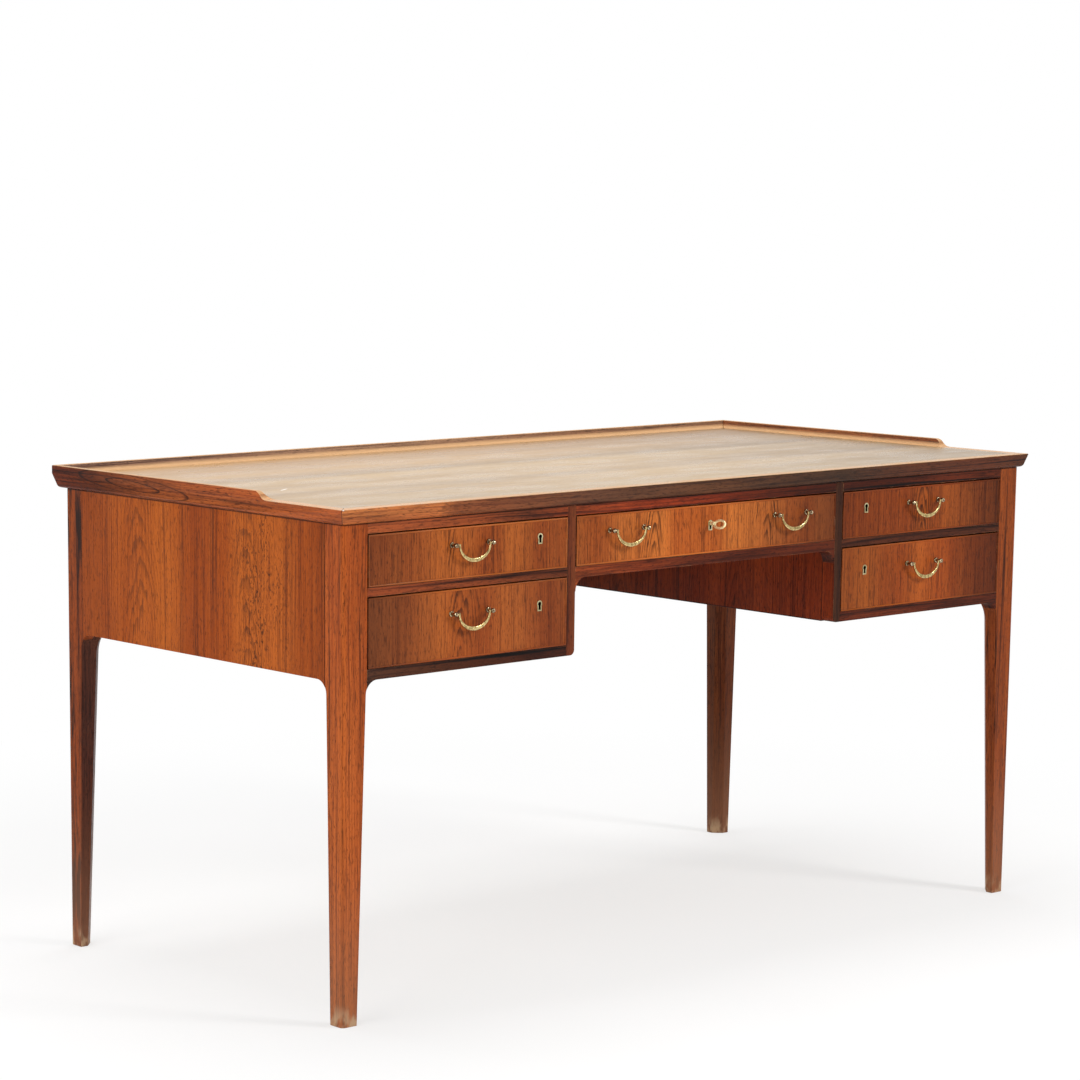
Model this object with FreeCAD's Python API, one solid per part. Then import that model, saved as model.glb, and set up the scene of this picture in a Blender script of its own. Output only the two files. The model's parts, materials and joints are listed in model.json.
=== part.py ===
import FreeCAD, Part
import math
import os

# A freestanding pedestal writing desk in rosewood, in millimetres.
# X runs along the desk, the drawers face -Y and Z is up.
# The origin lies on the floor, at the middle of the whole desk's box.

# Carcass and writing surface
carcass_width = 1416.0
carcass_depth = 657.0
writing_height = 725.0
top_thickness = 21.4
overhang_side = 11.6
overhang_front = 11.0
overhang_back = 19.0

# Solid band round the veneered top
band_width = 21.0
band_slant = 6.6
band_round_top = 2.2
band_round_bottom = 4.5
band_arris_out_share = 0.35
band_arris_down_share = 0.3
band_foot_share = 0.3

# Gallery: the lip on the back band and on the rear of the side bands
gallery_height = 12.4
gallery_lip = 8.5
gallery_cove_radius = 16.0
gallery_round = 2.0
gallery_front = 166.5
gallery_run = 27.0

# Front frame, from the top down
top_rail_height = 15.0
upper_opening_height = 74.5
middle_rail_height = 12.5
lower_opening_height = 100.5
bottom_rail_height = 15.3
centre_rail_height = 15.8
rail_depth = 24.0

# Pedestals
pedestal_opening_width = 374.0
stile_width = 16.0
panel_thickness = 18.0
back_thickness = 12.0
lipping_height = 6.0

# Legs: section at the top, step of the fillet and the tapered foot
leg_width = 43.3
leg_depth = 39.5
leg_step_x = 2.0
leg_step_y = 2.8
foot_size = 26.8
leg_corner_radius = 6.0

# Wide chamfer down each leg's inner corner, run out in a long curve below the frame
leg_chamfer = 14.0
chamfer_curve_radius = 56.0

# Fillets between the legs and the frame
fillet_radius = 20.0
fillet_tip = 0.8
stile_corner_radius = 8.0

# Drawer fronts and their beads
front_thickness = 20.0
front_lap = 6.0
drawer_gap_top = 1.8
drawer_gap_bottom = 0.5
drawer_gap_side = 0.9
bead_width = 2.4
bead_proud = 1.0
bead_round = 0.9

# Drawer boxes
side_thickness = 12.0
side_drop = 7.0
box_back_thickness = 11.0
box_back_room = 40.0
bottom_thickness = 5.0
bottom_height = 9.0
bottom_groove = 5.0
tail_slope = 7.0
tail_pitch = 21.0
tail_gap = 5.0

# Runners in the grooves of the drawer sides
runner_height = 14.0
runner_reach = 7.0
runner_gap = 0.4
runner_setback = 30.0
groove_setback = 25.0
packer_height = 30.0
batten_height = 14.0
batten_width = 20.0

# Bail handles, each between two ball-headed posts
post_spacing = 69.0
post_height_above_middle = 11.2
lower_post_height_above_middle = 14.6
centre_handle_share = 0.63
rosette_radius = 4.1
rosette_thickness = 2.2
rosette_round = 1.0
stem_radius = 2.2
ball_radius = 3.7
ball_reach = 10.4
tail_radius = 1.9
post_tail_gap = 0.1
post_tail_reach = 3.0
bail_width = 60.0
bail_drop = 25.4
bail_thickness = 3.2
bail_crescent = 5.8
bail_end_width = 2.9
bail_end_rise = 1.7
bail_round = 1.1
pin_radius = 1.0
pin_play = 0.06
pin_length = 3.6
pin_hole_spare = 0.5

# Locks, each with a keyhole liner in the drawer front
side_keyhole_inset = 53.8
upper_keyhole_drop = 24.0
centre_keyhole_drop = 28.0
lower_keyhole_drop = 33.6
keyhole_radius = 3.1
keyhole_slot = 4.2
keyhole_height = 11.8
liner_wall = 1.8
liner_depth = 2.4
liner_proud = 0.5
lock_plate = 1.6
lock_case_width = 38.0
lock_case_depth = 8.6
lock_plate_width = 54.0
lock_foot = 9.0
bolt_width = 16.0
bolt_thickness = 4.0
bolt_play = 0.4
bolt_engagement = 5.0
bolt_mortise_spare = 1.2
bit_room_radius = 6.6
bit_room_depth = 4.2

# Key standing in the centre drawer's lock
key_shank_radius = 1.8
key_collar_radius = 3.0
key_collar_length = 8.0
key_bow_length = 24.0
key_bow_width = 15.0
key_wire = 3.0
key_bit_reach = 5.8
key_bit_height = 3.0
key_play = 0.5
key_turn = 25.0

# One overrun for every cut
overrun = 5.0

# Heights of the frame, worked out from the floor
carcass_top = writing_height - top_thickness
upper_top = carcass_top - top_rail_height
upper_bottom = upper_top - upper_opening_height
lower_top = upper_bottom - middle_rail_height
lower_bottom = lower_top - lower_opening_height
carcass_bottom = lower_bottom - bottom_rail_height
centre_bottom = upper_bottom
centre_rail_bottom = centre_bottom - centre_rail_height

# Places along the desk
half_width = carcass_width / 2
leg_inner_x = half_width - leg_width
stile_outer_x = leg_inner_x - pedestal_opening_width
stile_inner_x = stile_outer_x - stile_width
centre_handle_x = stile_inner_x * centre_handle_share
side_keyhole_x = stile_outer_x + side_keyhole_inset
panel_inner_x = half_width - panel_thickness

# Places across the desk: the key's bow is the foremost point and the back band the rearmost
key_reach = liner_proud + key_play + key_collar_length + key_bow_length - key_wire / 2
front_y = (key_reach - carcass_depth - overhang_back) / 2
back_y = front_y + carcass_depth
back_inner_y = back_y - back_thickness
frame_back_y = front_y + rail_depth
leg_back_y = front_y + leg_depth
rear_leg_y = back_y - leg_depth

# The top's box
top_half_width = half_width + overhang_side
top_front_y = front_y - overhang_front
top_back_y = back_y + overhang_back

# Lock bolt
bolt_throw = drawer_gap_top + bolt_engagement

PLANES = {"XY": (0, 1, 2), "XZ": (0, 2, 1), "YZ": (1, 2, 0)}


def point(plane, pair, level):
    """A point of a plane's outline, set at a level along the plane's normal."""
    place = [0.0, 0.0, 0.0]
    first, second, normal = PLANES[plane]
    place[first] = pair[0]
    place[second] = pair[1]
    place[normal] = level
    return FreeCAD.Vector(*place)


def prism(plane, start, steps, level, end_level):
    """A solid with an outline of lines (one pair) and arcs (two pairs), from one level to another."""
    edges = []
    here = point(plane, start, level)
    for step in list(steps) + [(start,)]:
        there = point(plane, step[-1], level)
        if here.isEqual(there, 1e-6):
            continue
        if len(step) == 1:
            edges.append(Part.LineSegment(here, there).toShape())
        else:
            edges.append(Part.Arc(here, point(plane, step[0], level), there).toShape())
        here = there
    face = Part.Face(Part.Wire(edges))
    return face.extrude(point(plane, (0, 0), end_level - level))


def box(x0, x1, y0, y1, z0, z1):
    """A box between two places on each axis."""
    corner = FreeCAD.Vector(min(x0, x1), min(y0, y1), min(z0, z1))
    return Part.makeBox(abs(x1 - x0), abs(y1 - y0), abs(z1 - z0), corner)


def rod(x, y0, y1, z, radius):
    """A cylinder along Y between two places."""
    start = FreeCAD.Vector(x, min(y0, y1), z)
    return Part.makeCylinder(radius, abs(y1 - y0), start, FreeCAD.Vector(0, 1, 0))


def on_circle(centre, radius, degrees):
    """A point of a circle in an outline's own plane."""
    angle = math.radians(degrees)
    return (centre[0] + radius * math.cos(angle), centre[1] + radius * math.sin(angle))


def mirrored(shape, normal):
    """The same solid on the other side of the desk's middle plane."""
    return shape.mirror(FreeCAD.Vector(0, 0, 0), normal)


def across(shape):
    return mirrored(shape, FreeCAD.Vector(1, 0, 0))


def rounded(shape, radius, wanted):
    """The solid with its chosen edges rounded."""
    edges = [edge for edge in shape.Edges if wanted(edge)]
    return shape.makeFillet(radius, edges)


def save(name, *shapes):
    """One node: a single solid, or a group of separate ones."""
    solids = []
    for shape in shapes:
        solids.extend(shape.Solids)
    whole = solids[0] if len(solids) == 1 else Part.makeCompound(solids)
    whole.exportStep(os.path.join("parts", name + ".step"))


def band_section(outer, inner, lip):
    """Outline of the top's band: a slanted outer face, two rounded arrises and the lip if it has one."""
    way = 1 if inner > outer else -1
    slope = band_slant / top_thickness
    foot = (outer + way * band_slant, carcass_top)
    rise = band_round_bottom
    steps = []
    cut_in = rise * band_foot_share
    steps.append(((foot[0] + way * cut_in - way * rise * slope / 2, carcass_top + cut_in),
                  (foot[0] - way * rise * slope, carcass_top + rise)))
    start = (foot[0] + way * rise, carcass_top)
    if lip:
        crest = writing_height + gallery_height
        steps.append(((outer, writing_height),))
        steps.append(((outer, crest - gallery_round),))
        steps.append((on_circle((outer + way * gallery_round, crest - gallery_round),
                                gallery_round, 90 + way * 45), (outer + way * gallery_round, crest)))
        inner_top = (outer + way * (gallery_lip - gallery_round), crest)
        steps.append((inner_top,))
        fall_start = (outer + way * gallery_lip, crest - gallery_round)
        steps.append((on_circle((inner_top[0], fall_start[1]), gallery_round, 90 - way * 45), fall_start))
        steps.append((hollow_middle(fall_start, (inner, writing_height), way), (inner, writing_height)))
    else:
        arris = band_round_top
        low = (outer + way * arris * slope, writing_height - arris)
        steps.append((low,))
        steps.append(((outer + way * arris * band_arris_out_share,
                       writing_height - arris * band_arris_down_share),
                      (outer + way * arris, writing_height)))
        steps.append(((inner, writing_height),))
    steps.append(((inner, carcass_top),))
    return start, steps


def hollow_middle(upper, lower, way):
    """Middle point of the cove between the lip's crest and the writing surface."""
    middle = ((upper[0] + lower[0]) / 2, (upper[1] + lower[1]) / 2)
    run = lower[0] - upper[0]
    fall = upper[1] - lower[1]
    chord = math.hypot(run, fall)
    sagitta = gallery_cove_radius - math.sqrt(gallery_cove_radius ** 2 - (chord / 2) ** 2)
    return (middle[0] - way * sagitta * fall / chord, middle[1] - sagitta * abs(run) / chord)


def top_bands():
    """Four mitred bands round the top, the back one and the rear of the side ones with a lip."""
    half = top_half_width
    inner_x = half - band_width
    inner_front = top_front_y + band_width
    inner_back = top_back_y - band_width
    ceiling = writing_height + gallery_height + overrun

    start, steps = band_section(top_front_y, inner_front, False)
    front = prism("YZ", start, steps, -half, half)
    front_plan = prism("XY", (-half, top_front_y), [((half, top_front_y),), ((inner_x, inner_front),),
                                                    ((-inner_x, inner_front),)], 0, ceiling)
    save("top_edge_front", front.common(front_plan))

    start, steps = band_section(top_back_y, inner_back, True)
    back = prism("YZ", start, steps, -half, half)
    back_plan = prism("XY", (-half, top_back_y), [((half, top_back_y),), ((inner_x, inner_back),),
                                                  ((-inner_x, inner_back),)], 0, ceiling)
    save("top_edge_back", back.common(back_plan))

    start, steps = band_section(half, inner_x, True)
    side = prism("XZ", start, steps, top_front_y, top_back_y)
    side_plan = prism("XY", (half, top_front_y), [((half, top_back_y),), ((inner_x, inner_back),),
                                                  ((inner_x, inner_front),)], 0, ceiling)
    side = side.common(side_plan).cut(gallery_cutter(inner_x - overrun, half + overrun, ceiling))
    side = side.common(flush_arris(inner_x - overrun, half))
    save("top_edge_right", side)
    save("top_edge_left", across(side))


def gallery_cutter(x0, x1, ceiling):
    """What is cut off above the side band in front of the lip's S curve."""
    foot_y = top_front_y + gallery_front
    crest_y = foot_y + gallery_run
    crest = writing_height + gallery_height
    radius = (gallery_run ** 2 + gallery_height ** 2) / (4 * gallery_height)
    middle = (foot_y + gallery_run / 2, writing_height + gallery_height / 2)
    turn = math.degrees(math.asin(gallery_run / 2 / radius))
    lower = on_circle((foot_y, writing_height + radius), radius, turn / 2 - 90)
    upper = on_circle((crest_y, crest - radius), radius, 90 + turn / 2)
    steps = [((foot_y, writing_height),), (lower, middle), (upper, (crest_y, crest)),
             ((crest_y, ceiling),), ((top_front_y - overrun, ceiling),)]
    return prism("YZ", (top_front_y - overrun, writing_height), steps, x0, x1)


def flush_arris(x0, outer):
    """Space that keeps the side band but for the arris along its flush front part."""
    arris = band_round_top
    slope = band_slant / top_thickness
    crest = writing_height + gallery_height
    steps = [((x0, writing_height),), ((outer - arris, writing_height),),
             ((outer - arris * band_arris_out_share, writing_height - arris * band_arris_down_share),
              (outer - arris * slope, writing_height - arris)),
             ((outer - band_slant, carcass_top),)]
    flush = prism("XZ", (x0, carcass_top), steps, top_front_y, top_front_y + gallery_front)
    behind = box(x0, outer + overrun, top_front_y + gallery_front, top_back_y, carcass_top, crest)
    return flush.fuse(behind)


def leg():
    """The rear right leg: two tapered outlines crossed, each with the lower part of a fillet."""
    corner_z = carcass_bottom - fillet_radius

    def outline(outer, inner, step):
        """Leg seen square on: full width to the fillet, then the taper down to the foot."""
        face = inner + step
        centre = (face - fillet_radius, corner_z)
        start_angle = math.degrees(math.acos((fillet_radius - step) / fillet_radius))
        meet = on_circle(centre, fillet_radius, start_angle)
        middle = on_circle(centre, fillet_radius, start_angle / 2)
        steps = [((outer, carcass_top),), ((inner, carcass_top),), (meet,), (middle, (face, corner_z)),
                 ((outer - foot_size, 0),)]
        return (outer, 0), steps

    start, steps = outline(half_width, leg_inner_x, leg_step_x)
    seen_from_front = prism("XZ", start, steps, rear_leg_y - overrun, back_y)
    start, steps = outline(back_y, rear_leg_y, leg_step_y)
    seen_from_side = prism("YZ", start, steps, leg_inner_x - overrun, half_width)
    shape = seen_from_front.common(seen_from_side)

    def outer_corner(edge):
        bound = edge.BoundBox
        return bound.XMin > half_width - overrun / 100 and bound.YMin > back_y - overrun / 100

    return rounded(shape, leg_corner_radius, outer_corner).cut(chamfer_cutter())


def chamfer_cutter():
    """What is planed off the rear right leg's inner corner, seen along the chamfer's own face.

    In this view the first axis runs diagonally outwards, so the leg's inner corner is at its low end.
    """
    diagonal = math.sqrt(2)
    corner_top = (leg_inner_x + leg_step_x + rear_leg_y + leg_step_y) / diagonal
    corner_foot = (half_width - foot_size + back_y - foot_size) / diagonal
    depth = leg_chamfer / diagonal
    run_out = math.sqrt(2 * chamfer_curve_radius * depth - depth ** 2)
    top = (corner_top + depth, carcass_bottom - run_out)
    foot = (corner_foot + depth, 0)
    lean = (foot[0] - top[0]) / top[1]
    below = (foot[0] + lean * overrun, -overrun)
    tilt = math.degrees(math.atan(lean))
    centre = on_circle(top, chamfer_curve_radius, 180 + tilt)
    sweep = math.degrees(math.acos(1 - (depth + overrun) / chamfer_curve_radius))
    end = on_circle(centre, chamfer_curve_radius, tilt + sweep)
    middle = on_circle(centre, chamfer_curve_radius, tilt + sweep / 2)
    clear = corner_top - leg_width
    steps = [(top,), (middle, end), ((clear, end[1]),), ((clear, -overrun),)]
    across_middle = (back_y - half_width) / diagonal
    cutter = prism("XZ", below, steps, across_middle - leg_width, across_middle + leg_width)
    cutter.rotate(FreeCAD.Vector(0, 0, 0), FreeCAD.Vector(0, 0, 1), 45)
    return cutter


def legs():
    """Four legs, each the mirror of its neighbour about the carcass's middle."""
    rear = leg()
    middle = FreeCAD.Vector(0, (front_y + back_y) / 2, 0)
    front = rear.mirror(middle, FreeCAD.Vector(0, 1, 0))
    save("leg_back_right", rear)
    save("leg_back_left", across(rear))
    save("leg_front_right", front)
    save("leg_front_left", across(front))


def eared_outline(low, high, bottom, top, low_step, high_step):
    """A rail or panel edge with a concave ear running down at one or both ends.

    A step is how far past the end the fillet's upright tangent lies, and None leaves the low end square.
    """

    def ear(end, step, way):
        """Points from the straight lower edge out to the end of the piece."""
        centre = (end + way * step - way * fillet_radius, bottom - fillet_radius)
        reach = fillet_radius if step < 0 else fillet_radius - step
        sweep = math.degrees(math.asin(reach / fillet_radius))
        tip = on_circle(centre, fillet_radius, 90 - way * sweep)
        middle = on_circle(centre, fillet_radius, 90 - way * sweep / 2)
        return (centre[0], bottom), middle, tip

    start = (low, bottom)
    steps = []
    if low_step is not None:
        straight, middle, tip = ear(low, low_step, -1)
        start = (low, tip[1])
        if low_step < 0:
            steps.append((tip,))
        steps.append((middle, straight))
    straight, middle, tip = ear(high, high_step, 1)
    steps.append((straight,))
    steps.append((middle, tip))
    if high_step < 0:
        steps.append(((high, tip[1]),))
    steps.append(((high, top),))
    steps.append(((low, top),))
    return start, steps


def split_lipping(shape):
    """A panel cut into its field and the solid lipping along its lower edge."""
    bound = shape.BoundBox
    seam = carcass_bottom + lipping_height
    lower = box(bound.XMin, bound.XMax, bound.YMin, bound.YMax, bound.ZMin, seam)
    return shape.cut(lower), shape.common(lower)


def panels():
    """Outer side panels, pedestal inner sides and the back, each with its lipping."""
    start, steps = eared_outline(leg_back_y, rear_leg_y, carcass_bottom, carcass_top, leg_step_y, leg_step_y)
    side = prism("YZ", start, steps, panel_inner_x, half_width)
    save("side_panel_right", *split_lipping(side))
    save("side_panel_left", *split_lipping(across(side)))

    inner = box(stile_inner_x, stile_outer_x, frame_back_y, back_inner_y, carcass_bottom, carcass_top)
    save("pedestal_side_right", *split_lipping(inner))
    save("pedestal_side_left", *split_lipping(across(inner)))

    start, steps = eared_outline(-leg_inner_x, leg_inner_x, carcass_bottom, carcass_top,
                                 leg_step_x, leg_step_x)
    back = prism("XZ", start, steps, back_inner_y, back_y)
    save("back_panel", *split_lipping(back))


def bolt_mortise(x, floor):
    """Hole in a rail's underside for a raised lock bolt."""
    spread = bolt_width / 2 + bolt_mortise_spare
    low_y, high_y = bolt_span()
    return box(x - spread, x + spread, low_y - bolt_mortise_spare, high_y + bolt_mortise_spare,
               floor - overrun, floor + bolt_engagement + bolt_mortise_spare)


def front_frame():
    """Rails and stiles between the front legs, with mortises over the locks."""
    top_right = box(stile_outer_x, leg_inner_x, front_y, frame_back_y, upper_top, carcass_top)
    top_right = top_right.cut(bolt_mortise(side_keyhole_x, upper_top))
    top_centre = box(-stile_inner_x, stile_inner_x, front_y, frame_back_y, upper_top, carcass_top)
    top_centre = top_centre.cut(bolt_mortise(0, upper_top))
    save("front_top_rails", top_right, top_centre, across(top_right))

    middle = box(stile_outer_x, leg_inner_x, front_y, frame_back_y, lower_top, upper_bottom)
    middle = middle.cut(bolt_mortise(side_keyhole_x, lower_top))
    save("front_middle_rails", middle, across(middle))

    start, steps = eared_outline(stile_outer_x, leg_inner_x, carcass_bottom, lower_bottom, None, leg_step_x)
    bottom = prism("XZ", start, steps, front_y, frame_back_y)
    save("front_bottom_rails", bottom, across(bottom))

    start, steps = eared_outline(-stile_inner_x, stile_inner_x, centre_rail_bottom, centre_bottom,
                                 -fillet_tip, -fillet_tip)
    save("front_centre_rail", prism("XZ", start, steps, front_y, frame_back_y))

    radius = stile_corner_radius
    centre = (stile_inner_x + radius, carcass_bottom + radius)
    stile = prism("XZ", (stile_outer_x, carcass_bottom),
                  [((stile_outer_x, carcass_top),), ((stile_inner_x, carcass_top),),
                   ((stile_inner_x, centre[1]),),
                   (on_circle(centre, radius, 225), (centre[0], carcass_bottom))],
                  front_y, frame_back_y)
    save("front_stile_right", stile)
    save("front_stile_left", across(stile))


def bolt_span():
    """Front and back of the bolt's slab inside the lock case."""
    back = front_y + front_thickness - lock_plate - bolt_play
    return back - bolt_thickness, back


def tail_places(low, high):
    """Middles of the dovetails, spread evenly over a height."""
    count = max(2, round((high - low) / tail_pitch))
    pitch = (high - low) / count
    return [low + pitch * (k + 0.5) for k in range(count)], pitch


def tails(x0, x1, root_y, tip_y, low, high):
    """Dovetails that widen from their root to their tip, across a side's thickness."""
    places, pitch = tail_places(low, high)
    spread = abs(tip_y - root_y) / tail_slope
    root_half = (pitch - tail_gap) / 2 - spread
    tip_half = root_half + spread
    return [prism("YZ", (root_y, z - root_half), [((tip_y, z - tip_half),), ((tip_y, z + tip_half),),
                                                  ((root_y, z + root_half),)], x0, x1) for z in places]


def keyhole(x, z, y0, y1, grow):
    """A keyhole's outline, grown outwards all round, from one depth to another."""
    radius = keyhole_radius + grow
    half_slot = keyhole_slot / 2 + grow
    foot = z + keyhole_radius - keyhole_height - grow
    slot = box(x - half_slot, x + half_slot, y0, y1, foot, z)
    return rod(x, y0, y1, z, radius).fuse(slot)


def drawer(name, x0, x1, bottom, top, handle_xs, post_rise, lock_x, keyhole_drop):
    """One drawer with its front, beads, dovetailed box, posts, lock, bolt and bails."""
    left = x0 + drawer_gap_side
    right = x1 - drawer_gap_side
    low = bottom + drawer_gap_bottom
    high = top - drawer_gap_top
    back_face = front_y + front_thickness
    lap_y = front_y + front_lap
    box_back = back_inner_y - box_back_room
    side_low = low + bead_width
    side_high = high - side_drop
    floor_low = side_low + bottom_height
    floor_high = floor_low + bottom_thickness
    post_z = (bottom + top) / 2 + post_rise
    key_z = high - keyhole_drop

    board = box(left, right, front_y, back_face, low, high)
    field = box(left + bead_width, right - bead_width, front_y, lap_y, low + bead_width, high - bead_width)
    rim = box(left, right, front_y, lap_y, low, high).cut(field)
    board = board.cut(rim)
    save(name + "_drawer_beads", *beads(left, right, low, high, lap_y))

    front_tails = tails(left, left + side_thickness, back_face, lap_y, side_low, side_high)
    rear_tails = tails(left, left + side_thickness, box_back - box_back_thickness, box_back,
                       floor_high, side_high)
    side = box(left, left + side_thickness, back_face, box_back - box_back_thickness, side_low, side_high)
    heel = box(left, left + side_thickness, box_back - box_back_thickness, box_back, side_low, floor_high)
    side = side.fuse([heel] + front_tails + rear_tails).removeSplitter()
    groove_middle = runner_middle(bottom, top)
    half_groove = runner_height / 2 + runner_gap
    depth = runner_reach + runner_gap
    groove = box(left - overrun, left + depth, front_y + groove_setback, box_back + overrun,
                 groove_middle - half_groove, groove_middle + half_groove)
    side = side.cut(groove)
    floor_edge = left + side_thickness - bottom_groove
    side = side.cut(box(floor_edge, left + side_thickness + overrun, back_face - overrun, box_back + overrun,
                        floor_low, floor_high))
    middle = FreeCAD.Vector((left + right) / 2, 0, 0)
    other_side = side.mirror(middle, FreeCAD.Vector(1, 0, 0))

    mirrored_tails = [t.mirror(middle, FreeCAD.Vector(1, 0, 0)) for t in front_tails + rear_tails]
    board = board.cut(front_tails + mirrored_tails[:len(front_tails)])
    back_board = box(left, right, box_back - box_back_thickness, box_back, floor_high, side_high)
    back_board = back_board.cut(rear_tails + mirrored_tails[len(front_tails):])
    back_board = back_board.cut([groove, groove.mirror(middle, FreeCAD.Vector(1, 0, 0))])
    far_edge = right - side_thickness + bottom_groove
    floor = box(floor_edge, far_edge, back_face, box_back, floor_low, floor_high)
    save(name + "_drawer_box", side, other_side, back_board, floor)

    lock, bolt, recess = lock_parts(lock_x, high, key_z)
    liner = keyhole(lock_x, key_z, front_y - liner_proud, front_y + liner_depth, liner_wall)
    board = board.cut([recess, keyhole(lock_x, key_z, front_y - overrun, front_y + liner_depth, liner_wall),
                       keyhole(lock_x, key_z, front_y, back_face, 0)])
    liner = liner.cut(keyhole(lock_x, key_z, front_y - overrun, front_y + front_thickness, 0))
    save(name + "_drawer_lock", lock, liner)
    save(name + "_lock_bolt", bolt)

    posts = []
    for number, handle_x in enumerate(handle_xs):
        for way in (-1, 1):
            x = handle_x + way * post_spacing / 2
            posts.append(post(x, post_z, -way))
            board = board.cut(rod(x, front_y - overrun, back_face + overrun, post_z,
                                  tail_radius + post_tail_gap))
    save(name + "_drawer_front", board)
    save(name + "_drawer_posts", *posts)
    for handle_x, bail_name in zip(handle_xs, bail_names(name, handle_xs)):
        save(bail_name, bail(handle_x, post_z))


def bail_names(name, handle_xs):
    """Names of a drawer's bails: the wide drawer has one to the left and one to the right."""
    if len(handle_xs) == 1:
        return [name + "_bail"]
    return [name + "_left_bail", name + "_right_bail"]


def runner_middle(bottom, top):
    """Height of the runner beside an opening."""
    return (bottom + top) / 2 - runner_height / 2


def beads(left, right, low, high, lap_y):
    """Four mitred strips round a drawer front, each with a rounded nose."""
    b = bead_width
    nose = front_y - bead_proud
    corners = [(left, low), (right, low), (right, high), (left, high)]
    inner = [(left + b, low + b), (right - b, low + b), (right - b, high - b), (left + b, high - b)]
    strips = []
    for k in range(len(corners)):
        n = (k + 1) % len(corners)
        strip = prism("XZ", corners[k], [(corners[n],), (inner[n],), (inner[k],)], nose, lap_y)

        def on_nose(edge, along=k):
            bound = edge.BoundBox
            length = bound.XLength if along % 2 == 0 else bound.ZLength
            return bound.YMax < nose + bead_round / 10 and length > b + overrun

        strips.append(rounded(strip, bead_round, on_nose))
    return strips


def lock_parts(x, high, key_z):
    """A cut drawer lock with its bolt down, and the recess that it fills in the front's back."""
    back_face = front_y + front_thickness
    bolt_front, bolt_back = bolt_span()
    case_front = back_face - lock_plate - lock_case_depth
    case_low = key_z - lock_foot
    half_case = lock_case_width / 2
    half_plate = lock_plate_width / 2
    case = box(x - half_case, x + half_case, case_front, back_face, case_low, high)
    back_plate = box(x - half_plate, x + half_plate, back_face - lock_plate, back_face, case_low, high)
    cap_plate = box(x - half_plate, x + half_plate, case_front, back_face, high - lock_plate, high)
    solid = case.fuse([back_plate, cap_plate]).removeSplitter()

    half_bolt = bolt_width / 2
    bolt_low = key_z + bit_room_radius + bolt_play
    channel = box(x - half_bolt - bolt_play, x + half_bolt + bolt_play, bolt_front - bolt_play,
                  bolt_back + bolt_play / 2, bolt_low - bolt_play, high + overrun)
    bit_room = rod(x, case_front, case_front + bit_room_depth, key_z, bit_room_radius)
    lock = solid.cut([channel, bit_room])
    bolt = box(x - half_bolt, x + half_bolt, bolt_front, bolt_back - bolt_play / 2, bolt_low, high)
    return lock, bolt, solid


def post(x, z, inward):
    """A handle post turned in one piece: rosette, stem, ball and the tail through the drawer front."""
    face = front_y
    ball_y = face - ball_reach
    neck = math.sqrt(ball_radius ** 2 - stem_radius ** 2)
    r = rosette_round
    edge_r = rosette_radius - r
    mouth = face - rosette_thickness
    profile = [Part.LineSegment(point("XY", (0, ball_y - ball_radius), 0),
                                point("XY", (0, face + front_thickness + post_tail_reach), 0)).toShape()]

    def line(a, b):
        profile.append(Part.LineSegment(point("XY", a, 0), point("XY", b, 0)).toShape())

    tail_end = face + front_thickness + post_tail_reach
    line((0, tail_end), (tail_radius, tail_end))
    line((tail_radius, tail_end), (tail_radius, face))
    line((tail_radius, face), (rosette_radius, face))
    line((rosette_radius, face), (rosette_radius, mouth + r))
    curve = on_circle((edge_r, mouth + r), r, -45)
    profile.append(Part.Arc(point("XY", (rosette_radius, mouth + r), 0), point("XY", curve, 0),
                            point("XY", (edge_r, mouth), 0)).toShape())
    line((edge_r, mouth), (stem_radius, mouth))
    line((stem_radius, mouth), (stem_radius, ball_y + neck))
    profile.append(Part.Arc(point("XY", (stem_radius, ball_y + neck), 0),
                            point("XY", (ball_radius, ball_y), 0),
                            point("XY", (0, ball_y - ball_radius), 0)).toShape())
    face_shape = Part.Face(Part.Wire(Part.sortEdges(profile)[0]))
    turned = face_shape.revolve(FreeCAD.Vector(0, 0, 0), FreeCAD.Vector(0, 1, 0), 360)
    turned.translate(FreeCAD.Vector(x, 0, z))
    bail_end = post_spacing / 2 - bail_width / 2
    socket_depth = pin_length - bail_end + pin_hole_spare
    depth = bail_end + socket_depth
    start = FreeCAD.Vector(x + inward * bail_end, ball_y, z)
    socket = Part.makeCylinder(pin_radius + pin_play, depth, start, FreeCAD.Vector(-inward, 0, 0))
    return turned.cut(socket)


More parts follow.
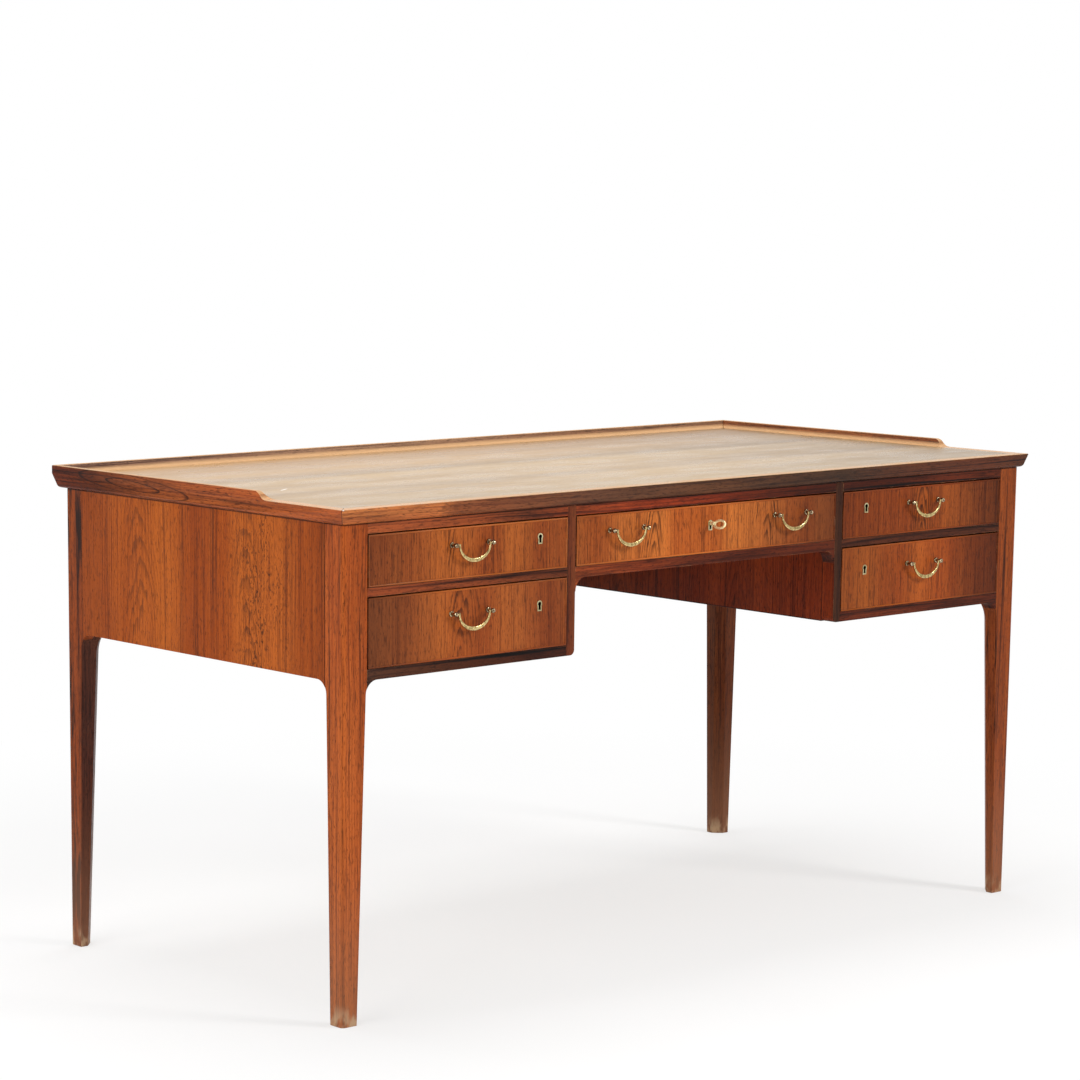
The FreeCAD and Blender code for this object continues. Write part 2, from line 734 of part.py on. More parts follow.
def bail(x, z):
    """A crescent bail hanging between two posts, with a pin into each ball."""
    half = bail_width / 2
    inner = half - bail_end_width
    deep = bail_drop - bail_crescent
    y0 = front_y - ball_reach - bail_thickness / 2

    def place(dx, dz):
        return FreeCAD.Vector(x + dx, y0, z + dz)

    def half_oval(wide, tall):
        """Lower half of an oval: a unit circle's half, stretched to the two sizes."""
        unit = Part.Arc(FreeCAD.Vector(-1, 0, 0), FreeCAD.Vector(0, 0, -1), FreeCAD.Vector(1, 0, 0)).toShape()
        stretch = FreeCAD.Matrix()
        stretch.scale(wide, 1, tall)
        oval = unit.transformGeometry(stretch)
        oval.translate(place(0, 0))
        return oval

    edges = [half_oval(half, bail_drop), half_oval(inner, deep)]
    rise = bail_end_rise
    for way in (-1, 1):
        tip = [place(way * half, 0), place(way * half, rise), place(way * inner, rise), place(way * inner, 0)]
        for a, b in zip(tip, tip[1:]):
            edges.append(Part.LineSegment(a, b).toShape())
    face = Part.Face(Part.Wire(Part.sortEdges(edges)[0]))
    body = face.extrude(FreeCAD.Vector(0, bail_thickness, 0))

    def long_edge(edge):
        bound = edge.BoundBox
        return bound.YLength < bail_thickness / 10 and bound.ZLength > bail_crescent

    body = rounded(body, bail_round, long_edge)
    middle_y = front_y - ball_reach
    pins = []
    for way in (-1, 1):
        start = FreeCAD.Vector(x + way * (half - bail_end_width / 2), middle_y, z)
        pins.append(Part.makeCylinder(pin_radius, bail_end_width / 2 + pin_length, start,
                                      FreeCAD.Vector(way, 0, 0)))
    return body.fuse(pins)


def key():
    """The key: a shank with its bit in the lock, a collar and an oval bow of bent wire."""
    z = upper_top - drawer_gap_top - centre_keyhole_drop
    collar_back = front_y - liner_proud - key_play
    collar_front = collar_back - key_collar_length
    case_front = front_y + front_thickness - lock_plate - lock_case_depth
    shank_end = case_front + bit_room_depth - key_play
    shank = rod(0, collar_front, shank_end, z, key_shank_radius)
    collar = rod(0, collar_front, collar_back, z, key_collar_radius)

    def collar_rim(edge):
        return edge.BoundBox.YLength < key_play / 10

    collar = rounded(collar, key_play, collar_rim)
    bit = box(-key_bit_height / 2, key_bit_height / 2, case_front + key_play, shank_end,
              z - key_bit_reach, z)
    long_half = (key_bow_length - key_wire) / 2
    short_half = (key_bow_width - key_wire) / 2
    bow_y = collar_front - (key_bow_length - key_wire) / 2
    centre = FreeCAD.Vector(0, bow_y, z)
    path = Part.Ellipse(FreeCAD.Vector(0, bow_y + long_half, z), FreeCAD.Vector(0, bow_y, z + short_half),
                        centre)
    circle = Part.Circle(FreeCAD.Vector(0, bow_y + long_half, z), FreeCAD.Vector(0, 0, 1), key_wire / 2)
    wire = Part.Wire([circle.toShape()])
    bow = Part.Wire([path.toShape()]).makePipeShell([wire], True, True).Solids[0]
    whole = shank.fuse([collar, bit, bow])
    whole.rotate(FreeCAD.Vector(0, 0, z), FreeCAD.Vector(0, 1, 0), key_turn)
    return whole


def runners():
    """Grooved-in runners for all drawers, and the packers that bring the outer ones in line."""
    start_y = front_y + runner_setback
    end_y = back_inner_y - box_back_room
    reach = drawer_gap_side + runner_reach
    strips = []
    packers = []
    for bottom, top in ((upper_bottom, upper_top), (lower_bottom, lower_top)):
        middle = runner_middle(bottom, top)
        low = middle - runner_height / 2
        high = middle + runner_height / 2
        strips.append(box(stile_outer_x, stile_outer_x + reach, start_y, end_y, low, high))
        strips.append(box(leg_inner_x - reach, leg_inner_x, start_y, end_y, low, high))
        packers.append(box(leg_inner_x, panel_inner_x, leg_back_y, rear_leg_y,
                           middle - packer_height / 2, middle + packer_height / 2))
    middle = runner_middle(centre_bottom, upper_top)
    strips.append(box(stile_inner_x - reach, stile_inner_x, start_y, end_y,
                      middle - runner_height / 2, middle + runner_height / 2))
    save("drawer_runners", *(strips + [across(s) for s in strips]))
    save("runner_packers", *(packers + [across(p) for p in packers]))

    low = carcass_top - batten_height
    side = box(panel_inner_x - batten_width, panel_inner_x, leg_back_y, rear_leg_y, low, carcass_top)
    back = box(-stile_inner_x, stile_inner_x, back_inner_y - batten_width, back_inner_y, low, carcass_top)
    save("fixing_battens", side, across(side), back)


def main():
    os.makedirs("parts", exist_ok=True)
    inner_x = top_half_width - band_width
    save("top_panel", box(-inner_x, inner_x, top_front_y + band_width, top_back_y - band_width,
                          carcass_top, writing_height))
    top_bands()
    legs()
    panels()
    front_frame()
    runners()
    handle_x = (stile_outer_x + leg_inner_x) / 2
    rises = (post_height_above_middle, lower_post_height_above_middle)
    for side, way in (("left", -1), ("right", 1)):
        edges = sorted((way * stile_outer_x, way * leg_inner_x))
        drawer("upper_" + side, *edges, upper_bottom, upper_top, [way * handle_x], rises[0],
               way * side_keyhole_x, upper_keyhole_drop)
        drawer("lower_" + side, *edges, lower_bottom, lower_top, [way * handle_x], rises[1],
               way * side_keyhole_x, lower_keyhole_drop)
    drawer("centre", -stile_inner_x, stile_inner_x, centre_bottom, upper_top,
           [-centre_handle_x, centre_handle_x], rises[0], 0, centre_keyhole_drop)
    save("key", key())


main()
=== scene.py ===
import bmesh
import bpy
import json
import math
from mathutils import Matrix, Vector

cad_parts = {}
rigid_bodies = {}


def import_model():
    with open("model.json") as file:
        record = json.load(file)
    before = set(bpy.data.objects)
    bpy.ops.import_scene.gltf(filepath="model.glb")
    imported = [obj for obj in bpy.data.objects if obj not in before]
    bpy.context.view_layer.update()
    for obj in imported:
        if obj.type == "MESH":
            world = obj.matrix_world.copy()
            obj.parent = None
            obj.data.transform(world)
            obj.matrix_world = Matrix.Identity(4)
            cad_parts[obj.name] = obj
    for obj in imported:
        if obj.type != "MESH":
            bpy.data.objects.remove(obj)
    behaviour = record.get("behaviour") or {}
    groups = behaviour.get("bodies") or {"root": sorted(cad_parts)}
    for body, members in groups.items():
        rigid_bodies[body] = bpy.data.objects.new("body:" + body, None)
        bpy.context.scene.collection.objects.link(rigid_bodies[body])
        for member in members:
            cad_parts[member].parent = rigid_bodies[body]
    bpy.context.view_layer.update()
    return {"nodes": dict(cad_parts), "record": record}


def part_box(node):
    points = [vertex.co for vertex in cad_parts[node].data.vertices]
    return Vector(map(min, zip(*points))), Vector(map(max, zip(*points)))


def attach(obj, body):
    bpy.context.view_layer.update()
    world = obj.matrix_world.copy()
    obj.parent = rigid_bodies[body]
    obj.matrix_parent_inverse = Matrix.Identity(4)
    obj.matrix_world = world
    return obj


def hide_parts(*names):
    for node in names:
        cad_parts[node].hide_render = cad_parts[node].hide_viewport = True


# A rosewood pedestal desk with brass bail handles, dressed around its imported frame. Lengths are in metres
# and colours are display values from 0 to 255.

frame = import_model()
MM = 0.001
RECORD = frame["record"]
BODIES = {node: body for body, nodes in RECORD["behaviour"]["bodies"].items() for node in nodes}
SPACE_AXES = "XYZ"


def on_axis(values, axis):
    """The one of three values that belongs to an axis."""
    return values[SPACE_AXES.index(axis)]


def rgba(colour):
    """A colour in the shader's linear values, by the sRGB curve. A socket passes through."""
    if isinstance(colour, bpy.types.NodeSocket):
        return colour
    linear = []
    for value in colour:
        share = value / 255
        linear.append(share / 12.92 if share <= 0.04045 else ((share + 0.055) / 1.055) ** 2.4)
    return (*linear, 1.0)


class Paint:
    """A material's node tree, with one short call for each kind of node, and the colour laid so far."""

    # Sockets of a Mix node that mixes colours
    FACTOR, BELOW, ABOVE, RESULT = 0, 6, 7, 2

    def __init__(self, name):
        self.material = bpy.data.materials.new(name)
        self.material.use_nodes = True
        self.tree = self.material.node_tree
        self.tree.nodes.clear()
        self.output = self.tree.nodes.new("ShaderNodeOutputMaterial")
        self.colour = None

    def put(self, socket, value):
        """Links a socket or sets its value."""
        if isinstance(value, bpy.types.NodeSocket):
            self.tree.links.new(value, socket)
        else:
            socket.default_value = value

    def node(self, kind, **settings):
        """A new node of a kind, with its settings."""
        node = self.tree.nodes.new("ShaderNode" + kind)
        for key, value in settings.items():
            setattr(node, key, value)
        return node

    def place(self):
        """Position on the object, in metres."""
        return self.node("TexCoord").outputs["Object"]

    def split(self, vector):
        """The three parts of a vector."""
        node = self.node("SeparateXYZ")
        self.put(node.inputs[0], vector)
        return node.outputs

    def join(self, x, y, z):
        """A vector from its three parts."""
        node = self.node("CombineXYZ")
        for socket, value in zip(node.inputs, (x, y, z)):
            self.put(socket, value)
        return node.outputs[0]

    def scaled(self, vector, scale):
        """A vector times a number."""
        node = self.node("VectorMath", operation="SCALE")
        self.put(node.inputs[0], vector)
        node.inputs["Scale"].default_value = scale
        return node.outputs[0]

    def math(self, operation, a, b=0.0, c=0.0):
        """The result of a Math node."""
        node = self.node("Math", operation=operation)
        for socket, value in zip(node.inputs, (a, b, c)):
            self.put(socket, value)
        return node.outputs[0]

    def product(self, first, *others):
        """The product of two or more values."""
        for value in others:
            first = self.math("MULTIPLY", first, value)
        return first

    def distance(self, a, b):
        """How far apart two values are."""
        return self.math("ABSOLUTE", self.math("SUBTRACT", a, b))

    def squares(self, a, b):
        """The sum of two squares."""
        return self.math("ADD", self.math("MULTIPLY", a, a), self.math("MULTIPLY", b, b))

    def noise(self, vector, detail, rough):
        """Noise at one cell per unit of its vector."""
        node = self.node("TexNoise")
        self.put(node.inputs["Vector"], vector)
        node.inputs["Scale"].default_value = 1.0
        node.inputs["Detail"].default_value = detail
        node.inputs["Roughness"].default_value = rough
        return node.outputs["Fac"]

    def span(self, value, low, high, to_low=0.0, to_high=1.0, smooth=True):
        """Maps a value's range onto another, held at both ends."""
        node = self.node("MapRange", interpolation_type="SMOOTHSTEP" if smooth else "LINEAR")
        for key, item in (("Value", value), ("From Min", low), ("From Max", high),
                          ("To Min", to_low), ("To Max", to_high)):
            self.put(node.inputs[key], item)
        return node.outputs[0]

    def peak(self, value, rise, fall):
        """One between a rise and a fall of a value, each given as where it is zero and where it is one."""
        return self.product(self.span(value, *rise), self.span(value, *fall))

    def mix(self, factor, below, above, blend="MIX"):
        """Mixes two colours."""
        node = self.node("Mix", data_type="RGBA", blend_type=blend)
        self.put(node.inputs[self.FACTOR], factor)
        self.put(node.inputs[self.BELOW], rgba(below))
        self.put(node.inputs[self.ABOVE], rgba(above))
        return node.outputs[self.RESULT]

    def cover(self, share, tone, blend="MIX"):
        """Lays a tone over the colour so far."""
        self.colour = self.mix(share, self.colour, tone, blend)

    def ramp(self, value, stops):
        """Colours along a value, each stop a place and a colour."""
        node = self.node("ValToRGB")
        self.put(node.inputs[0], value)
        points = node.color_ramp.elements
        while len(points) < len(stops):
            points.new(0.5)
        for point, (place, colour) in zip(points, stops):
            point.position = place
            point.color = rgba(colour)
        return node.outputs[0]

    def bump(self, height, distance, strength):
        """A normal that leans with a height."""
        node = self.node("Bump")
        node.inputs["Strength"].default_value = strength
        node.inputs["Distance"].default_value = distance
        self.put(node.inputs["Height"], height)
        return node.outputs[0]

    def surface(self, rough, normal=None, **fixed):
        """The shader over the colour so far. Roughness and normal may be linked, the rest is plain values."""
        node = self.node("BsdfPrincipled")
        self.put(node.inputs["Base Color"], self.colour)
        self.put(node.inputs["Roughness"], rough)
        if normal is not None:
            self.put(node.inputs["Normal"], normal)
        for key, value in fixed.items():
            node.inputs[key.replace("_", " ")].default_value = value
        self.tree.links.new(node.outputs[0], self.output.inputs["Surface"])
        return self.material


def wood_tones(*colours):
    """The colours of a wood, from its palest ground to its ink lines."""
    return dict(zip(("pale", "ground", "deep", "ink"), colours))


PANEL_TONES = wood_tones((184, 94, 28), (158, 72, 14), (110, 44, 8), (34, 17, 8))
FRONT_TONES = wood_tones((198, 106, 40), (168, 80, 28), (108, 46, 18), (30, 14, 10))
CENTRE_TONES = wood_tones((212, 116, 48), (182, 88, 32), (114, 50, 20), (28, 13, 9))
LEG_TONES = wood_tones((196, 104, 46), (170, 80, 30), (108, 46, 22), (26, 14, 10))
DARK_LEG_TONES = wood_tones((150, 68, 22), (112, 46, 15), (44, 23, 14), (12, 8, 7))
RAIL_TONES = wood_tones((192, 102, 52), (155, 73, 38), (86, 40, 26), (20, 12, 10))
BAND_TONES = wood_tones((214, 134, 72), (190, 106, 54), (122, 62, 38), (24, 14, 12))
# The lip and top tones are paler than the carcass's rosewood: partly bleached wood, partly a painted sheen
LIP_TONES = wood_tones((192, 138, 92), (172, 114, 72), (134, 82, 52), (70, 44, 34))
TOP_TONES = wood_tones((188, 154, 104), (172, 138, 88), (150, 116, 74), (110, 82, 56))
INSIDE_TONES = wood_tones((206, 170, 124), (190, 148, 102), (164, 120, 78), (128, 90, 58))
RUNNER_TONES = wood_tones((216, 182, 140), (200, 162, 118), (176, 136, 94), (144, 106, 72))
# Pale of worn edges and of the painted highlight on arrises
EDGE_RUB_AND_HIGHLIGHT = (214, 164, 114)
# Pale tone of the painted sheen on faces that look up
PAINTED_SHEEN = (216, 170, 120)
DUSTY_WOOD = (150, 106, 80)
BARE_WOOD = (190, 160, 126)
SCUFFED = (252, 248, 242)
# Near black, for the painted shade in recesses and keyholes
PAINTED_SHADE = (14, 11, 9)

# The wood's noise: cells to the metre across and along the grain, a shift that sets each field apart from
# the others, detail and roughness
FIELDS = {
    "sway": (8, 2.6, 3.1, 2, 0.55),
    "broad": (10, 0.9, 5.9, 2, 0.55),
    "streak": (90, 1.6, 13.7, 4, 0.65),
    "line": (420, 4.0, 19.3, 3, 0.7),
    "dash": (460, 48, 23.9, 1, 0.55),
    "pore": (900, 120, 29.1, 1, 0.55),
    "wobble": (70, 9, 31.7, 2, 0.55),
    "ring_patch": (30, 6, 37.9, 2, 0.55),
    "arris_patch": (60, 14, 41.3, 4, 0.7),
    "gloss": (25, 10, 43.7, 3, 0.55),
    "speck": (330, 170, 47.3, 1, 0.55),
    "speck_patch": (22, 9, 53.9, 2, 0.55),
    "blotch": (75, 7, 61.3, 3, 0.65),
    "bare": (55, 22, 67.1, 3, 0.6),
}
# Where the noise shows as a mark: the values at which it begins and is full, and how strong it gets
MARKS = {
    "ground": (0.36, 0.62, 1.0),
    "deep_streak": (0.45, 0.70, 0.8),
    "ink_streak": (0.58, 0.66, 1.0),
    "deep_line": (0.50, 0.70, 1.0),
    "pale_line": (0.48, 0.32, 0.8),
    "dash": (0.58, 0.70, 0.6),
    "pore": (0.58, 0.70, 0.8),
    "ring_patch": (0.38, 0.58, 1.0),
    "blotch": (0.49, 0.60, 1.0),
    "speck": (0.56, 0.66, 0.7),
    "speck_patch": (0.40, 0.58, 1.0),
    "bare": (0.42, 0.60, 1.0),
    "arris_patch": (0.47, 0.63, 1.0),
}
NOISE_MIDDLE = 0.5
# How far a seed moves the noise along the grain, for each step across it
SEED_ALONG = 0.37
# Ink streaks are weaker outside the dark zones of the wood, and less so in wood full of streaks
DARK_ZONE = (0.44, 0.62)
ZONE_FLOOR = 0.3
STREAKY_ZONE_FLOOR = 0.75
# How far the grain's sway moves the grain itself, the rings and the casts
GRAIN_SWAY = 0.012
RING_SWAY = 0.05
CAST_SWAY = 0.03
# The rings: how far they wobble across and into the face, where the late wood rises and falls in each, how
# strong the pale wood round them is, and the share of their reach in which they are full
RING_WOBBLE = (0.012, 0.008)
RING_RISE, RING_FALL = (0.4, 0.9), (1.0, 0.94)
RING_GLOW = 0.35
RING_CORE = 0.3
# The knot: its lean across the grain, its lines from the middle to the edge, where each rises and falls, and
# where the last one ends
KNOT_SLOPE = 0.059
KNOT_LINES = 2.0
KNOT_RISE, KNOT_FALL = (0.78, 0.95), (1.0, 0.96)
KNOT_EDGE = (1.15, 0.9)
# How strong the lines of knots and mitres and the painted shade at joints are
DARK_LINE = 0.85
# Where a scuff begins and is full, with its own size as one, and how strong it is
SCUFF_EDGE = (1.0, 0.2)
SCUFF_STRENGTH = 0.9
# How far up a face looks that begins to take a scuff and takes it fully, the same for the painted sheen, and
# how far along the axis of a joint a face looks that takes no painted shade there and that takes it fully
SCUFF_FACING = (0.3, 0.6)
SHEEN_FACING = (0.5, 0.9)
JOINT_SHADE_FACING = (0.8, 0.5)
# The width of the painted shade beside joints and under overhangs, and the share of it that is full
JOINT_SHADE_WIDTH = 2.6 * MM
PANEL_JOINT_SHADE_WIDTH = 1.2 * MM
FRONT_JOINT_SHADE_WIDTH = 1.1 * MM
BEAD_JOINT_SHADE_WIDTH = 0.5 * MM
JOINT_SHADE_CORE = 0.3
# How far from a corner its mitre is drawn, and where the line begins and is full
MITRE_REACH = 60 * MM
MITRE_LINE = (0.9 * MM, 0.3 * MM)
# The heights at which dust ends, and at which bare wood begins and is full
DUST_HEIGHT = 0.28
DUST_STRENGTH = 0.5
BARE_HEIGHT = (38 * MM, 4 * MM)
# The width over which edges are softened to find them, and the agreement with the true normal on edges
# that are worn and take painted highlight
EDGE_FIND_WIDTH = 0.9 * MM
EDGE_FIND_TURN = (0.985, 0.90)
# The finish: the noise of its gloss, how far that spreads the roughness, and what pores and lines add
GLOSS_NOISE = (0.3, 0.7)
GLOSS_SPREAD = (-0.05, 0.06)
PORE_ROUGHNESS = 0.3
LINE_HEIGHT = 0.4
RELIEF_HEIGHT = 0.25 * MM


class Grain:
    """Wood that grows along one axis of the piece, and the shares of its marks, from 0 to 1."""

    def __init__(self, paint, along, across, seed):
        first, second = SPACE_AXES.index(along), SPACE_AXES.index(across)
        third = 3 - first - second
        self.paint = paint
        self.seed = seed
        self.axes = paint.split(paint.place())
        self.normal = None
        self.along, self.across, self.inward = (self.axes[index] for index in (first, second, third))
        self.sway = paint.math("SUBTRACT", self.field("sway"), NOISE_MIDDLE)
        self.across = paint.math("MULTIPLY_ADD", self.sway, GRAIN_SWAY, self.across)

    def field(self, name, closer=1.0):
        """One of the FIELDS of noise, with its cells closer across the grain where asked."""
        across, along, shift, detail, rough = FIELDS[name]
        paint = self.paint
        vector = paint.join(paint.math("MULTIPLY_ADD", self.across, across * closer, self.seed + shift),
                            paint.math("MULTIPLY_ADD", self.inward, across * closer, shift),
                            paint.math("MULTIPLY_ADD", self.along, along, self.seed * SEED_ALONG + shift))
        return paint.noise(vector, detail, rough)

    def mark(self, name, strength=1.0, field=None):
        """One of the MARKS, in a field of its own name or in the one given."""
        begins, full, most = MARKS[name]
        if field is None:
            field = self.field(name)
        return self.paint.span(field, begins, full, 0.0, most * strength)

    def facing(self, axis):
        """How far the surface's normal points along an axis."""
        if self.normal is None:
            self.normal = self.paint.split(self.paint.node("NewGeometry").outputs["Normal"])
        return on_axis(self.normal, axis)

    def rings(self, heart, rise, spacing, reach, mirror=None):
        """Late wood in arches where the pith climbs towards the face, and how near the heart a point is.

        The heart is a place across the face. Rise is the pith's depth at the floor and its climb along the
        grain. A mirror is the joint about which two leaves are matched.
        """
        paint = self.paint
        offset = self.across if mirror is None else paint.distance(self.across, mirror)
        offset = paint.math("MULTIPLY_ADD", self.sway, RING_SWAY, paint.math("SUBTRACT", offset, heart))
        depth = paint.math("MULTIPLY_ADD", self.along, rise[1], rise[0])
        wobble = paint.math("SUBTRACT", self.field("wobble"), NOISE_MIDDLE)
        offset = paint.math("MULTIPLY_ADD", wobble, RING_WOBBLE[0], offset)
        depth = paint.math("MULTIPLY_ADD", wobble, RING_WOBBLE[1], depth)
        radius = paint.math("SQRT", paint.squares(offset, depth))
        turn = paint.math("FRACT", paint.math("DIVIDE", radius, spacing))
        near = paint.span(paint.math("ABSOLUTE", offset), reach, reach * RING_CORE)
        late = paint.product(paint.peak(turn, RING_RISE, RING_FALL), near, self.mark("ring_patch"))
        return late, near

    def fleck(self, low, high):
        """Short dark dashes that gather in a stretch across the face."""
        middle = (low + high) / 2
        inside = self.paint.peak(self.across, (low, middle), (high, middle))
        return self.paint.product(self.mark("speck"), self.mark("speck_patch"), inside)

    def knot(self, place_along, place_across, half_length, half_width):
        """Dark lines round a lens that lies nearly along the grain."""
        paint = self.paint
        along = paint.math("SUBTRACT", self.along, place_along)
        across = paint.math("MULTIPLY_ADD", along, -KNOT_SLOPE, self.across)
        across = paint.math("SUBTRACT", across, place_across)
        reach = paint.math("SQRT", paint.squares(paint.math("DIVIDE", along, half_length),
                                                 paint.math("DIVIDE", across, half_width)))
        turn = paint.math("FRACT", paint.math("MULTIPLY", reach, KNOT_LINES))
        return paint.product(paint.peak(turn, KNOT_RISE, KNOT_FALL),
                             paint.span(reach, *KNOT_EDGE, 0.0, DARK_LINE))

    def scuff(self, x, y, turn, half_length, half_width):
        """A pale scratch on an upper face, turned from the X axis."""
        paint = self.paint
        from_x = paint.math("SUBTRACT", self.axes[0], x)
        from_y = paint.math("SUBTRACT", self.axes[1], y)
        reaches = [paint.math("MULTIPLY_ADD", from_x, math.cos(lean) / size,
                              paint.math("MULTIPLY", from_y, math.sin(lean) / size))
                   for lean, size in ((turn, half_length), (turn + math.pi / 2, half_width))]
        return paint.product(paint.span(paint.squares(*reaches), *SCUFF_EDGE, 0.0, SCUFF_STRENGTH),
                             paint.span(self.facing("Z"), *SCUFF_FACING))

    def seam(self, axis, low, high, width):
        """Painted shade along the joints at both ends of a piece on an axis, on the faces beside them."""
        paint = self.paint
        place = on_axis(self.axes, axis)
        inside = paint.math("MINIMUM", paint.math("SUBTRACT", place, low),
                            paint.math("SUBTRACT", high, place))
        return paint.product(paint.span(inside, width, JOINT_SHADE_CORE * width, 0.0, DARK_LINE),
                             paint.span(paint.math("ABSOLUTE", self.facing(axis)), *JOINT_SHADE_FACING))

    def mitre(self, half_width, front, back):
        """Dark lines on the mitres at the corners of a frame with this half width and these ends."""
        paint = self.paint
        side = paint.math("SUBTRACT", half_width, paint.math("ABSOLUTE", self.axes[0]))
        from_front = paint.distance(side, paint.math("SUBTRACT", self.axes[1], front))
        from_back = paint.distance(side, paint.math("SUBTRACT", back, self.axes[1]))
        line = paint.span(paint.math("MINIMUM", from_front, from_back), *MITRE_LINE, 0.0, DARK_LINE)
        return paint.product(paint.math("LESS_THAN", side, MITRE_REACH), line)

    def bare_foot(self, strength):
        """Patches without finish, near the floor."""
        return self.paint.product(self.paint.span(self.axes[2], *BARE_HEIGHT), self.mark("bare", strength))

    def worn_and_highlit_edge(self, strength):
        """Worn finish and painted highlight along sharp edges, found from the turn of a softened normal."""
        paint = self.paint
        soft = paint.node("Bevel", samples=4)
        soft.inputs["Radius"].default_value = EDGE_FIND_WIDTH
        agree = paint.node("VectorMath", operation="DOT_PRODUCT")
        paint.put(agree.inputs[0], soft.outputs[0])
        paint.put(agree.inputs[1], paint.node("NewGeometry").outputs["Normal"])
        return paint.product(paint.span(agree.outputs["Value"], *EDGE_FIND_TURN), self.mark("arris_patch", strength))


def rosewood(name, tones, along="Z", across="X", seed=0.0, streaks=0.7, lines=0.6, pores=0.8, fine=1.0,
             rings=None, flame=0.6, blotch=0.0, fleck=None, knot=None, casts=(), upward_sheen=0.0, feet=0.0,
             edge_rub_and_highlight=0.0, scuffs=(), joint_shades=(), mitre=None, hollow=None, rough=0.38, relief=0.4, specular=0.1):
    """Wood whose streaks, lines and pores run along one axis, and its wear.

    Fine is how much closer the streaks lie. Flame is how strong the rings are, blotch how strong the black
    patches, upward_sheen how much painted sheen lightens the faces that look up, feet how dusty and bare the
    wood is near the floor, and edge_rub_and_highlight how strongly the edges are worn and painted with
    highlight. Rings, fleck, knot and mitre are the arguments of the methods of Grain with these names, as is
    each of the scuffs and joint_shades, which paint shade along joints and under overhangs, and hollow is
    those of keyhole_shade, which paints shade in the keyhole. A cast is an axis, where it begins and ends on
    it, and stops of tint between.
    """
    paint = Paint(name)
    grain = Grain(paint, along, across, seed)
    broad = grain.field("broad")
    streak = grain.field("streak", fine)
    line = grain.field("line")
    dash = grain.mark("dash", pores)
    pore = grain.mark("pore", pores)
    dark_zone = paint.span(broad, *DARK_ZONE, ZONE_FLOOR if streaks < 1 else STREAKY_ZONE_FLOOR, 1.0)

    paint.colour = paint.mix(grain.mark("ground", field=broad), tones["pale"], tones["ground"])
    paint.cover(grain.mark("deep_streak", streaks, streak), tones["deep"])
    paint.cover(paint.product(grain.mark("ink_streak", streaks, streak), dark_zone), tones["ink"])
    paint.cover(grain.mark("deep_line", lines, line), tones["deep"])
    paint.cover(grain.mark("pale_line", lines, line), tones["pale"])
    if rings is not None:
        late, near = grain.rings(*rings)
        paint.cover(paint.product(near, RING_GLOW * flame), tones["pale"])
        paint.cover(paint.product(late, flame), tones["ink"])
    if blotch:
        paint.cover(grain.mark("blotch", blotch), tones["ink"])
    paint.cover(paint.math("MAXIMUM", dash, pore), tones["ink"])
    if fleck is not None:
        paint.cover(grain.fleck(*fleck), tones["ink"])
    if knot is not None:
        paint.cover(grain.knot(*knot), tones["ink"])

    for axis, low, high, stops in casts:
        share = paint.span(on_axis(grain.axes, axis), low, high, smooth=False)
        share = paint.math("MULTIPLY_ADD", grain.sway, CAST_SWAY, share)
        paint.cover(1.0, paint.ramp(share, stops), "MULTIPLY")
    # Painted sheen: faces that look up are lightened towards a pale tone
    if upward_sheen:
        paint.cover(paint.span(grain.facing("Z"), *SHEEN_FACING, 0.0, upward_sheen), PAINTED_SHEEN)
    if feet:
        paint.cover(paint.span(grain.axes[2], DUST_HEIGHT, 0.0, 0.0, DUST_STRENGTH * feet), DUSTY_WOOD)
        paint.cover(grain.bare_foot(feet), BARE_WOOD)
    # Pale along sharp edges: partly worn finish, partly painted highlight on the arrises
    if edge_rub_and_highlight:
        paint.cover(grain.worn_and_highlit_edge(edge_rub_and_highlight), EDGE_RUB_AND_HIGHLIGHT)
    for scuff in scuffs:
        paint.cover(grain.scuff(*scuff), SCUFFED)
    # Painted shade along joints and under overhangs
    for seam in joint_shades:
        paint.cover(grain.seam(*seam), tones["ink"])
    if mitre is not None:
        paint.cover(grain.mitre(*mitre), tones["ink"])
    # Painted shade inside the keyhole
    if hollow is not None:
        paint.cover(keyhole_shade(paint, grain.axes, *hollow), PAINTED_SHADE)

    gloss = paint.span(grain.field("gloss"), *GLOSS_NOISE, *(rough + change for change in GLOSS_SPREAD))
    roughness = paint.math("MULTIPLY_ADD", pore, PORE_ROUGHNESS, gloss)
    height = paint.math("SUBTRACT", paint.math("MULTIPLY", line, LINE_HEIGHT),
                        paint.math("ADD", pore, dash))
    return paint.surface(roughness, paint.bump(height, RELIEF_HEIGHT, relief), Specular_IOR_Level=specular)


# The keyholes: how far their painted shade reaches to the side, up and down, and inwards, and where it sets
# in
KEYHOLE_SIDE = 6.0 * MM
KEYHOLE_RISE = 9.0 * MM
KEYHOLE_DEPTH = 17.5 * MM
KEYHOLE_EDGE = (0.6 * MM, 1.6 * MM)
KEYHOLE_DARK = 0.96
KEY_ABOVE_CASE = 9.0 * MM


def keyhole_shade(paint, axes, x, y, z):
    """How deep a point lies in the keyhole at x and z in the face at y, which sets the painted shade there.
    """
    inside = paint.product(paint.math("LESS_THAN", paint.distance(axes[0], x), KEYHOLE_SIDE),
                           paint.math("LESS_THAN", paint.distance(axes[2], z), KEYHOLE_RISE),
                           paint.math("LESS_THAN", axes[1], y + KEYHOLE_DEPTH))
    begins, full = (y + depth for depth in KEYHOLE_EDGE)
    return paint.product(inside, paint.span(axes[1], begins, full, 0.0, KEYHOLE_DARK))


def keyhole_of(name):
    """The middle of a drawer's keyhole in its front."""
    low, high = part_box(name + "_drawer_lock")
    return (low.x + high.x) / 2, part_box(name + "_drawer_front")[0].y, low.z + KEY_ABOVE_CASE


